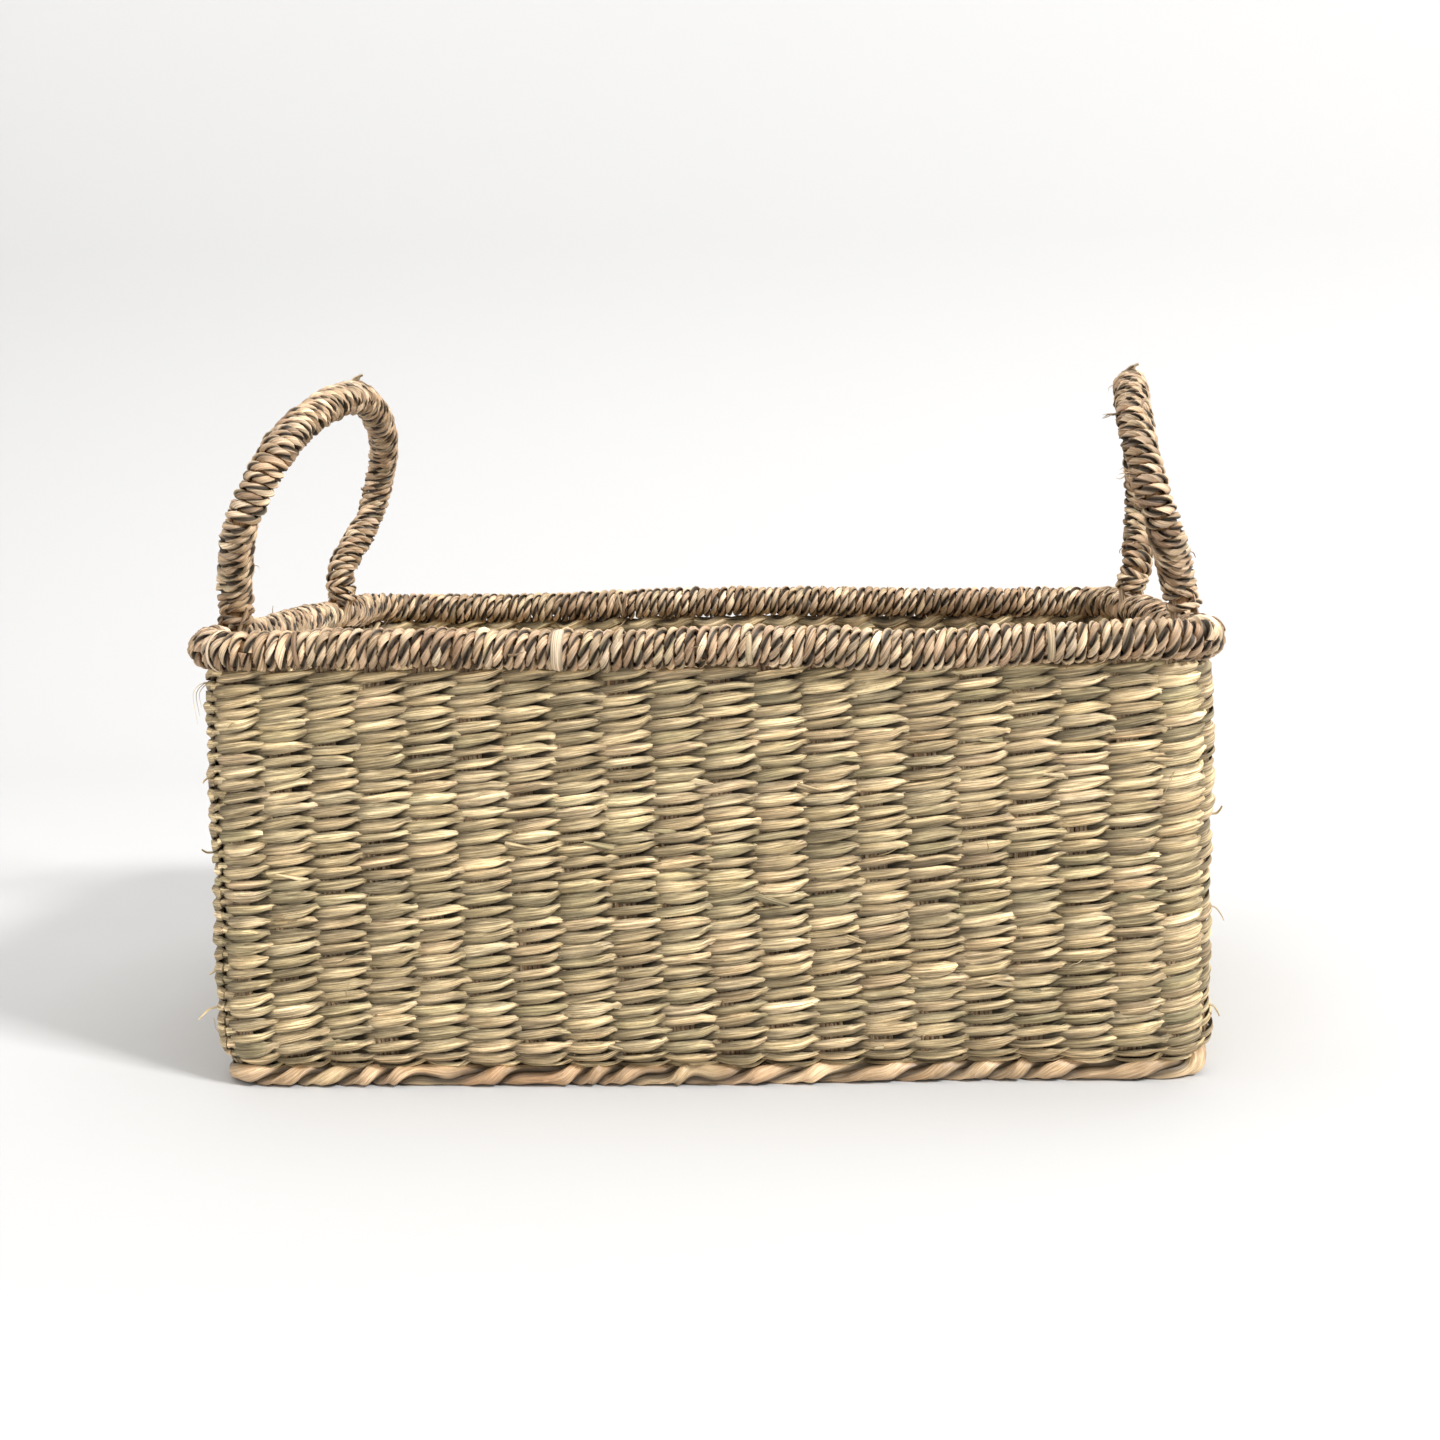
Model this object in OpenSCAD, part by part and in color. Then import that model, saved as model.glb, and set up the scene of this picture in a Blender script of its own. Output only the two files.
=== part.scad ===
// Rectangular woven storage basket with two bail handles.
// Frame: origin on the floor under the middle of the rim, +X along the long side, +Z up.
// The walls and base are twined over flat stakes. A cord-bound rim hoop closes the mouth,
// and two cord-bound handles turn about the short ends of that hoop.

/* [Overall size] */
// Outside width over the rim, along X
basket_w = 400; // [340:1:460]
// Outside depth over the rim, along Y
basket_d = 275; // [240:1:320]
// Height of the rim's top above the floor
rim_top = 176; // [140:1:220]
// Plan radius of the wall corners, at the middle of the wall
corner_r = 24; // [22:1:40]

/* [Rim] */
// Diameter of the cord-bound rim
rim_d = 16; // [14:0.5:20]
// Diameter of the rattan hoop inside the rim
hoop_d = 8; // [6:0.5:9]
// Length of bare hoop left open for each handle foot
foot_gap = 13.5; // [13:0.1:16]

/* [Weave] */
// Thickness of the twined wall and base
weave_t = 6.4; // [5.6:0.1:7]
// Height of one twined course
course_h = 4.72; // [4:0.01:6]
// Depth of the groove between two courses
groove = 0.8; // [0.2:0.1:1]
// Distance between neighbouring stakes
stake_pitch = 18.6; // [16:0.1:22]
// Width of one stake, a flat bundle of stems
stake_w = 8.5; // [6:0.1:10]
// Thickness of one stake
stake_t = 1.4; // [1:0.1:1.6]
// Inner bend radius of the wall's foot, at the middle of the wall
bend_r = 18; // [16:1:20]

/* [Foot braid] */
// Diameter of the plaited cord round the foot
braid_d = 7.6; // [6:0.1:8]
// How much of the braid is pressed flat on the floor
braid_flat = 0.5; // [0.2:0.1:1]

/* [Handles] */
// Diameter of a cord-bound handle
grip_d = 13.5; // [12:0.5:14]
// Diameter of the cane inside a handle
cane_d = 7; // [5:0.5:8]
// Height of the left handle's top above the rim's middle line
left_top = 108; // [95:1:116]
// Height of the right handle's top above the rim's middle line
right_top = 107; // [95:1:116]
// Half of the distance between the feet of the left handle
left_foot_half = 73; // [66:1:74]
// Y of the middle of the left handle
left_foot_y = -15; // [-16:1:0]
// Half of the distance between the feet of the right handle
right_foot_half = 61; // [60:1:74]
// Y of the middle of the right handle
right_foot_y = -11; // [-14:1:0]
// Half of the left handle's largest width
left_shoulder = 96; // [84:1:98]
// Half of the right handle's largest width
right_shoulder = 82; // [78:1:98]
// Inward lean of the left handle, in degrees
left_lean = 21; // [0:1:24]
// Inward lean of the right handle, in degrees
right_lean = 10; // [0:1:24]
// How far the left handle is twisted out of its plane, at its front shoulder
left_twist = 6; // [0:1:20]
// How far the right handle is twisted out of its plane, at its front shoulder
right_twist = 20; // [0:1:20]
// Width of a handle's foot loop along the rim
loop_w = 12; // [10:0.5:12.5]
// Radial running clearance of a foot loop on the hoop
loop_clear = 0.06; // [0.02:0.01:0.1]

/* [Hidden] */
$fn = 48;

rim_r = rim_d / 2;
rim_x = basket_w / 2 - rim_r;
rim_y = basket_d / 2 - rim_r;
rim_z = rim_top - rim_r;
rim_corner = corner_r + 1;
wall_x = rim_x - 1;
wall_y = rim_y - 1;
half_t = weave_t / 2;
base_z = 7;
weft_top = rim_z - rim_r - 1.5;
straight_x = wall_x - corner_r;
straight_y = wall_y - corner_r;
base_in = corner_r - bend_r;
fit = 0.15;
stake_top = rim_z - hoop_d / 2 - 0.4;
cross_z = base_z - 1.1;
length_z = base_z + 1.1;
cross_n = floor((straight_x - stake_w / 2 - 0.5) / stake_pitch + 0.5) * 2;
length_n = floor((straight_y - stake_w / 2 - 0.5) / stake_pitch) * 2 + 1;
courses = floor((weft_top - base_z - bend_r) / course_h);
braid_r = braid_d / 2;
braid_z = braid_r - braid_flat;
bend_z = base_z + bend_r;
braid_reach = bend_r + half_t + braid_r + 0.1;
braid_in = bend_r - sqrt(pow(braid_reach, 2) - pow(bend_z - braid_z, 2));

weft_colour = "#bfae86";
weft_side_colour = "#b8a77e";
cord_colour = "#b59a72";
grip_colour = "#ad9168";
stake_colour = "#8a6546";
hoop_colour = "#9a7350";
braid_colour = "#b98f6c";
strap_colour = "#c4a883";

// ---- rounded rectangular rings -------------------------------------------------

// One quarter of a ring with its section in the XY plane, about a plan corner
module corner_turn(sx, sy, cx, cy) {
    a = sx > 0 ? (sy > 0 ? 0 : 270) : (sy > 0 ? 90 : 180);
    translate([sx * cx, sy * cy, 0])
        rotate([0, 0, a])
            rotate_extrude(angle = 90)
                children();
}

// A round bar along X or Y between two values
module bar_x(x0, x1, y, z, r) {
    translate([x0, y, z])
        rotate([0, 90, 0])
            cylinder(r = r, h = x1 - x0);
}
module bar_y(x, y0, y1, z, r) {
    translate([x, y0, z])
        rotate([-90, 0, 0])
            cylinder(r = r, h = y1 - y0);
}

// A round bar all the way round the mouth or the foot
module ring_bar(hx, hy, rc, z, r) {
    for (s = [-1, 1]) {
        bar_x(-(hx - rc), hx - rc, s * hy, z, r);
        bar_y(s * hx, -(hy - rc), hy - rc, z, r);
    }
    for (sx = [-1, 1])
        for (sy = [-1, 1])
            corner_turn(sx, sy, hx - rc, hy - rc)
                translate([rc, z])
                    circle(r = r);
}

// ---- the woven wall ------------------------------------------------------------

// Outer or inner face of the courses, as points going up (side = 1) or down (side = -1)
function course_pts(side) = [
    for (i = [0 : courses - 1])
        let (k = side > 0 ? i : courses - 1 - i)
        let (z0 = bend_z + k * course_h)
        for (p = side > 0
            ? [[half_t - groove, z0], [half_t, z0 + course_h * 0.3],
                [half_t, z0 + course_h * 0.7]]
            : [[-half_t + groove, z0 + course_h], [-half_t, z0 + course_h * 0.7],
                [-half_t, z0 + course_h * 0.3]])
            p
];

// Section of the straight part of the wall. The first value is measured from the wall's
// middle, outwards.
module wall_section() {
    z1 = bend_z + courses * course_h;
    polygon(concat(
        [[half_t - groove, bend_z - 0.01]],
        course_pts(1),
        [[half_t - groove, z1], [half_t - groove, weft_top], [groove - half_t, weft_top]],
        course_pts(-1),
        [[groove - half_t, bend_z - 0.01]]));
}

// Section of the bend between the wall and the base
module bend_section() {
    intersection() {
        translate([-bend_r, bend_z])
            difference() {
                circle(r = bend_r + half_t, $fn = 96);
                circle(r = bend_r - half_t, $fn = 96);
            }
        translate([-bend_r, 0])
            square([bend_r + half_t + 1, bend_z]);
    }
}

module weft_section() {
    wall_section();
    bend_section();
}

// Middle line of a U-shaped stake as a closed strip outline
function arc_pts(cx, cz, r, a0, a1, n) = [
    for (i = [0 : n]) [cx + r * cos(a0 + (a1 - a0) * i / n), cz + r * sin(a0 + (a1 - a0) * i / n)]
];
function u_outline(half, z, t, top0, top1) = let (r = bend_r, h = t / 2) concat(
    [[-half - h, top0]],
    arc_pts(-half + r, z + r, r + h, 180, 270, 8),
    arc_pts(half - r, z + r, r + h, 270, 360, 8),
    [[half + h, top1], [half - h, top1]],
    arc_pts(half - r, z + r, r - h, 360, 270, 8),
    arc_pts(-half + r, z + r, r - h, 270, 180, 8),
    [[-half + h, top0]]);

// True where a stake on the left or right wall stands under a handle's foot
function under_foot(y, mid, half) =
    min(abs(y - mid - half), abs(y - mid + half)) < foot_gap / 2 + stake_w / 2 + 0.3;
function end_top(y, mid, half) = under_foot(y, mid, half) ? weft_top - 0.5 : stake_top;

// Crosswise stakes: up the front wall, under the base and up the back wall
module cross_stakes(extra) {
    for (i = [0 : cross_n - 1]) {
        x = (i - (cross_n - 1) / 2) * stake_pitch;
        translate([x - stake_w / 2 - extra, 0, 0])
            rotate([90, 0, 90])
                linear_extrude(height = stake_w + 2 * extra)
                    polygon(u_outline(wall_y, cross_z, stake_t + 2 * extra,
                        stake_top + extra, stake_top + extra));
    }
}

// Lengthwise stakes: up the left wall, along the base and up the right wall
module length_stakes(extra) {
    for (i = [0 : length_n - 1]) {
        y = (i - (length_n - 1) / 2) * stake_pitch;
        translate([0, y + stake_w / 2 + extra, 0])
            rotate([90, 0, 0])
                linear_extrude(height = stake_w + 2 * extra)
                    polygon(u_outline(wall_x, length_z, stake_t + 2 * extra,
                        end_top(y, left_foot_y, left_foot_half) + extra,
                        end_top(y, right_foot_y, right_foot_half) + extra));
    }
}

// Two upright stakes in each corner, pushed down beside the others
module corner_stakes(extra) {
    for (sx = [-1, 1])
        for (sy = [-1, 1])
            for (a = [23, 67])
                translate([sx * straight_x, sy * straight_y, 0])
                    rotate([0, 0, atan2(sy * sin(a), sx * cos(a))])
                        translate([corner_r - stake_t / 2 - extra, -stake_w / 2 - extra, 18 - extra])
                            cube([stake_t + 2 * extra, stake_w + 2 * extra,
                                stake_top - 18 + 2 * extra]);
}

// ---- rim -------------------------------------------------------------------------

module rim_hoop() {
    color(hoop_colour)
        ring_bar(rim_x, rim_y, rim_corner, rim_z, hoop_d / 2);
}

// Cord binding along one long side and round its two corners, sy = -1 front or 1 back
module long_binding(sy, left_end, right_end) {
    cx = rim_x - rim_corner;
    cy = rim_y - rim_corner;
    difference() {
        union() {
            bar_x(-cx, cx, sy * rim_y, rim_z, rim_r);
            bar_y(-rim_x, min(sy * cy, left_end), max(sy * cy, left_end), rim_z, rim_r);
            bar_y(rim_x, min(sy * cy, right_end), max(sy * cy, right_end), rim_z, rim_r);
            for (sx = [-1, 1])
                corner_turn(sx, sy, cx, cy)
                    translate([rim_corner, rim_z])
                        circle(r = rim_r);
        }
        ring_bar(rim_x, rim_y, rim_corner, rim_z, hoop_d / 2 + fit);
        cross_stakes(fit);
        length_stakes(fit);
        corner_stakes(fit);
    }
}

module rim_binding_front() {
    color(cord_colour)
        long_binding(-1, left_foot_y - left_foot_half - foot_gap / 2,
            right_foot_y - right_foot_half - foot_gap / 2);
}

module rim_binding_back() {
    color(cord_colour)
        long_binding(1, left_foot_y + left_foot_half + foot_gap / 2,
            right_foot_y + right_foot_half + foot_gap / 2);
}

// Cord binding of a short end, between the two feet of its handle
module end_binding(x, mid, half) {
    reach = half - foot_gap / 2;
    difference() {
        bar_y(x, mid - reach, mid + reach, rim_z, rim_r);
        bar_y(x, mid - reach - 1, mid + reach + 1, rim_z, hoop_d / 2 + fit);
        length_stakes(fit);
    }
}

module rim_binding_left() {
    color(cord_colour)
        end_binding(-rim_x, left_foot_y, left_foot_half);
}

module rim_binding_right() {
    color(cord_colour)
        end_binding(rim_x, right_foot_y, right_foot_half);
}

// ---- walls and base ----------------------------------------------------------------

// Twined weft of one long wall, sy = -1 front or 1 back
module long_weft(sy) {
    difference() {
        translate([-straight_x, sy * wall_y, 0])
            rotate([90, 0, 90])
                linear_extrude(height = 2 * straight_x)
                    scale([1, 1])
                        mirror([sy < 0 ? 1 : 0, 0])
                            weft_section();
        cross_stakes(fit);
    }
}

// Twined weft of one short wall, sx = -1 left or 1 right
module end_weft(sx) {
    difference() {
        translate([sx * wall_x, straight_y, 0])
            rotate([90, 0, 0])
                linear_extrude(height = 2 * straight_y)
                    mirror([sx < 0 ? 1 : 0, 0])
                        weft_section();
        length_stakes(fit);
    }
}

// Twined weft round one corner
module corner_weft(sx, sy) {
    difference() {
        corner_turn(sx, sy, straight_x, straight_y)
            translate([corner_r, 0])
                weft_section();
        corner_stakes(fit);
    }
}

module weft_front() {
    color(weft_colour)
        long_weft(-1);
}

module weft_back() {
    color(weft_colour)
        long_weft(1);
}

module weft_left() {
    color(weft_side_colour)
        end_weft(-1);
}

module weft_right() {
    color(weft_side_colour)
        end_weft(1);
}

module weft_corner_front_left() {
    color(weft_side_colour)
        corner_weft(-1, -1);
}

module weft_corner_front_right() {
    color(weft_side_colour)
        corner_weft(1, -1);
}

module weft_corner_back_left() {
    color(weft_side_colour)
        corner_weft(-1, 1);
}

module weft_corner_back_right() {
    color(weft_side_colour)
        corner_weft(1, 1);
}

// Section of the base weave, ribbed on both faces, from -half to half
function base_ribs(half, n, side) = [
    for (i = [0 : n - 1])
        let (k = side > 0 ? i : n - 1 - i)
        let (p = 2 * half / n)
        let (a = -half + k * p)
        for (q = side > 0
            ? [[a, groove - half_t], [a + p * 0.3, -half_t], [a + p * 0.7, -half_t]]
            : [[a + p, half_t - groove], [a + p * 0.7, half_t], [a + p * 0.3, half_t]])
            q
];

module base_weave() {
    hx = straight_x + base_in - 0.05;
    hy = straight_y + base_in - 0.05;
    n = floor(2 * hy / 5.2);
    color(weft_colour)
        difference() {
            intersection() {
                translate([-hx, 0, base_z])
                    rotate([90, 0, 90])
                        linear_extrude(height = 2 * hx)
                            polygon(concat(base_ribs(hy, n, 1), [[hy, groove - half_t]],
                                base_ribs(hy, n, -1), [[-hy, half_t - groove]]));
                union() {
                    translate([-hx, -straight_y, 0])
                        cube([2 * hx, 2 * straight_y, 20]);
                    translate([-straight_x, -hy, 0])
                        cube([2 * straight_x, 2 * hy, 20]);
                    for (sx = [-1, 1])
                        for (sy = [-1, 1])
                            translate([sx * straight_x, sy * straight_y, 0])
                                cylinder(r = base_in - 0.05, h = 20);
                }
            }
            cross_stakes(fit);
            length_stakes(fit);
        }
}

module stakes_cross() {
    color(stake_colour)
        cross_stakes(0);
}

module stakes_length() {
    color(stake_colour)
        length_stakes(0);
}

module stakes_corner() {
    color(stake_colour)
        corner_stakes(0);
}

// Plaited cord round the foot, pressed flat where it stands
module foot_braid() {
    color(braid_colour)
        intersection() {
            ring_bar(wall_x - braid_in, wall_y - braid_in, corner_r - braid_in, braid_z, braid_r);
            translate([-basket_w, -basket_d, 0])
                cube([2 * basket_w, 2 * basket_d, 30]);
        }
}

// ---- handles -----------------------------------------------------------------------

// The handle's middle line is a smooth curve through nine points, [y, height above the
// rim's middle], pushed out of its plane by the twist
function unit(v) = v / norm(v);
function grip_controls(half, shoulder, top) = [
    [-half, 9.5], [-half - 1, 24], [-shoulder, top * 0.54], [1 - shoulder * 0.81, top * 0.845],
    [0, top],
    [shoulder * 0.81 - 1, top * 0.845], [shoulder, top * 0.54], [half + 1, 24], [half, 9.5]
];
function knot(c, i) = i < 0
    ? 2 * c[0] - c[1]
    : i > len(c) - 1 ? 2 * c[len(c) - 1] - c[len(c) - 2] : c[i];
function between(a, b, c, d, t) = (2 * b + (c - a) * t + (2 * a - 5 * b + 4 * c - d) * t * t
    + (3 * b - a - 3 * c + d) * t * t * t) / 2;
function grip_pt(c, i, t, twist) =
    let (q = between(knot(c, i - 1), knot(c, i), knot(c, i + 1), knot(c, i + 2), t))
    [-twist * q[0] / 98 * (q[1] - 9.5) / 100, q[0], q[1]];
function grip_pts(c, twist, steps) = concat(
    [for (i = [0 : len(c) - 2]) for (k = [0 : steps - 1]) grip_pt(c, i, k / steps, twist)],
    [grip_pt(c, len(c) - 2, 1, twist)]);

// [point, direction] along the line, without the first and last few points
function grip_line(p, skip) = [
    for (i = [skip : len(p) - 1 - skip])
        [p[i], unit(p[min(i + 1, len(p) - 1)] - p[max(i - 1, 0)])]
];

// One ring of points square to the line
function ring_pts(q, r, n) =
    let (side = unit([1, 0, 0] - q[1][0] * q[1]))
    let (up = cross(side, q[1]))
    [for (k = [0 : n - 1])
        let (a = 360 * (k + 0.5) / n)
        q[0] + r * cos(a) * side + r * sin(a) * up];

// Solid bar along the line
module grip_bar(line, r) {
    n = 16;
    m = len(line);
    polyhedron(
        points = [for (q = line) for (v = ring_pts(q, r, n)) v],
        faces = concat(
            [[for (k = [0 : n - 1]) n - 1 - k]],
            [for (i = [0 : m - 2])
                for (k = [0 : n - 1])
                    [i * n + k, i * n + (k + 1) % n, (i + 1) * n + (k + 1) % n, (i + 1) * n + k]],
            [[for (k = [0 : n - 1]) (m - 1) * n + k]]));
}

// Stands children on the hinge line of the left (sx = -1) or right (sx = 1) handle
module on_hinge(sx, mid, lean) {
    translate([sx * rim_x, mid, rim_z])
        rotate([0, -sx * lean, 0])
            children();
}

module cane(sx, mid, half, lean, shoulder, top, twist) {
    p = grip_pts(grip_controls(half, shoulder, top), -sx * twist, 6);
    on_hinge(sx, mid, lean)
        grip_bar(grip_line(p, 0), cane_d / 2);
}

module grip_binding(sx, mid, half, lean, shoulder, top, twist) {
    p = grip_pts(grip_controls(half, shoulder, top), -sx * twist, 6);
    on_hinge(sx, mid, lean)
        difference() {
            grip_bar(grip_line(p, 3), grip_d / 2);
            grip_bar(grip_line(p, 2), cane_d / 2 + fit);
        }
}

// Loop of flat cane straps round the hoop, with the neck that holds the handle's end.
// The socket follows the cane's own line.
module grip_foot(sx, mid, y, lean, half, shoulder, top, twist) {
    neck = grip_d / 2 - 0.35;
    p = grip_pts(grip_controls(half, shoulder, top), -sx * twist, 6);
    q = y < 0 ? p : [for (i = [len(p) - 1 : -1 : 0]) p[i]];
    socket = concat([q[0] - 0.25 * unit(q[1] - q[0])], [for (i = [0 : 4]) q[i]]);
    on_hinge(sx, mid, lean)
        difference() {
            translate([0, y, 0])
                union() {
                    translate([0, loop_w / 2, 0])
                        rotate([90, 0, 0])
                            cylinder(r = rim_r - 0.2, h = loop_w);
                    translate([-neck, -loop_w / 2, 0])
                        cube([2 * neck, loop_w, 14.2]);
                }
            translate([0, y + loop_w / 2 + 1, 0])
                rotate([90, 0, 0])
                    cylinder(r = hoop_d / 2 + loop_clear, h = loop_w + 2);
            grip_bar(grip_line(socket, 0), cane_d / 2 + fit);
        }
}

module handle_left_cane() {
    color(hoop_colour)
        cane(-1, left_foot_y, left_foot_half, left_lean, left_shoulder,
            left_top, left_twist);
}

module handle_left_binding() {
    color(grip_colour)
        grip_binding(-1, left_foot_y, left_foot_half, left_lean, left_shoulder,
            left_top, left_twist);
}

module handle_left_foot_front() {
    color(strap_colour)
        grip_foot(-1, left_foot_y, -left_foot_half, left_lean,
            left_foot_half, left_shoulder, left_top, left_twist);
}

module handle_left_foot_back() {
    color(strap_colour)
        grip_foot(-1, left_foot_y, left_foot_half, left_lean,
            left_foot_half, left_shoulder, left_top, left_twist);
}

module handle_right_cane() {
    color(hoop_colour)
        cane(1, right_foot_y, right_foot_half, right_lean, right_shoulder,
            right_top, right_twist);
}

module handle_right_binding() {
    color(grip_colour)
        grip_binding(1, right_foot_y, right_foot_half, right_lean, right_shoulder,
            right_top, right_twist);
}

module handle_right_foot_front() {
    color(strap_colour)
        grip_foot(1, right_foot_y, -right_foot_half, right_lean,
            right_foot_half, right_shoulder, right_top, right_twist);
}

module handle_right_foot_back() {
    color(strap_colour)
        grip_foot(1, right_foot_y, right_foot_half, right_lean,
            right_foot_half, right_shoulder, right_top, right_twist);
}

rim_hoop();
rim_binding_front();
rim_binding_back();
rim_binding_left();
rim_binding_right();
weft_front();
weft_back();
weft_left();
weft_right();
weft_corner_front_left();
weft_corner_front_right();
weft_corner_back_left();
weft_corner_back_right();
base_weave();
stakes_cross();
stakes_length();
stakes_corner();
foot_braid();
handle_left_cane();
handle_left_binding();
handle_left_foot_front();
handle_left_foot_back();
handle_right_cane();
handle_right_binding();
handle_right_foot_front();
handle_right_foot_back();
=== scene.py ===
import math
import bpy
import numpy as np
from mathutils import Matrix, Vector


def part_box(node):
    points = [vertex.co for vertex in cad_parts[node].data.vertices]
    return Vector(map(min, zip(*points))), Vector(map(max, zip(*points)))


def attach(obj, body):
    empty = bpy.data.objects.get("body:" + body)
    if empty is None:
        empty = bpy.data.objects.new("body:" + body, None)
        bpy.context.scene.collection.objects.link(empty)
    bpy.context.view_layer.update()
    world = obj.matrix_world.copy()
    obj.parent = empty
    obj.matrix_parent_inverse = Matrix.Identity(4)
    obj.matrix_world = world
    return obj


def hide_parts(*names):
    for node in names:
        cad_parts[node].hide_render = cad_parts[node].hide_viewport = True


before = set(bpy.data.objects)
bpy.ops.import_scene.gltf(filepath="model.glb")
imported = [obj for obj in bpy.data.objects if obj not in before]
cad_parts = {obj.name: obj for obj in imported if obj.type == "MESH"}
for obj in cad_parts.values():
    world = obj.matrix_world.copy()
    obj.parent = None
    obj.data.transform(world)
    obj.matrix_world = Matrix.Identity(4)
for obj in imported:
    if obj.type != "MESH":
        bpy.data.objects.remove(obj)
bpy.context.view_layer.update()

MM = 0.001

# ---- sizes, in millimetres, as the CAD has them
lo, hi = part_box("rim_hoop")
HOOP_R = 4.0
RIM_X = hi[0] / MM - HOOP_R
RIM_Y = hi[1] / MM - HOOP_R
RIM_Z = (hi[2] + lo[2]) / 2 / MM
RIM_R = 8.0
RIM_CORNER = 25.0
WALL_X, WALL_Y = RIM_X - 1, RIM_Y - 1
CORNER = 24.0
SX, SY = WALL_X - CORNER, WALL_Y - CORNER      # half lengths of the straight walls
BEND = 12.0
BASE_Z = 7.0
WEFT_TOP = RIM_Z - RIM_R - 1.0
PITCH = 18.6
CROSS_X = (np.arange(18) - 8.5) * PITCH
LENGTH_Y = (np.arange(11) - 5) * PITCH
NSTAKE = 66


def smooth(t):
    t = np.clip(t, 0, 1)
    return t * t * (3 - 2 * t)


class Noise:
    """Smooth value noise over one or two coordinates, the same on each run."""

    def __init__(self, seed, size=256):
        self.v = np.random.default_rng(seed).uniform(-1, 1, (size, size))
        self.n = size

    def __call__(self, x, y=0.0):
        x, y = np.broadcast_arrays(np.asarray(x, float), np.asarray(y, float))
        i, j = np.floor(x).astype(int), np.floor(y).astype(int)
        u, w = smooth(x - i), smooth(y - j)
        n = self.n
        a, b = self.v[i % n, j % n], self.v[(i + 1) % n, j % n]
        c, d = self.v[i % n, (j + 1) % n], self.v[(i + 1) % n, (j + 1) % n]
        return (a * (1 - u) + b * u) * (1 - w) + (c * (1 - u) + d * u) * w


# ---- mesh building
def unit(v):
    return v / np.maximum(np.linalg.norm(v, axis=-1, keepdims=True), 1e-9)


def placed(name, data):
    """A new object in the scene."""
    obj = bpy.data.objects.new(name, data)
    bpy.context.scene.collection.objects.link(obj)
    return obj


def square(v, T):
    """The part of v that is square to T, as a unit vector."""
    return unit(v - (v * T).sum(-1, keepdims=True) * T)


def lengths(P):
    """How far along the path each of its points lies."""
    return np.concatenate([[0], np.cumsum(np.linalg.norm(np.diff(P, axis=0), axis=1))])


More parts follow.
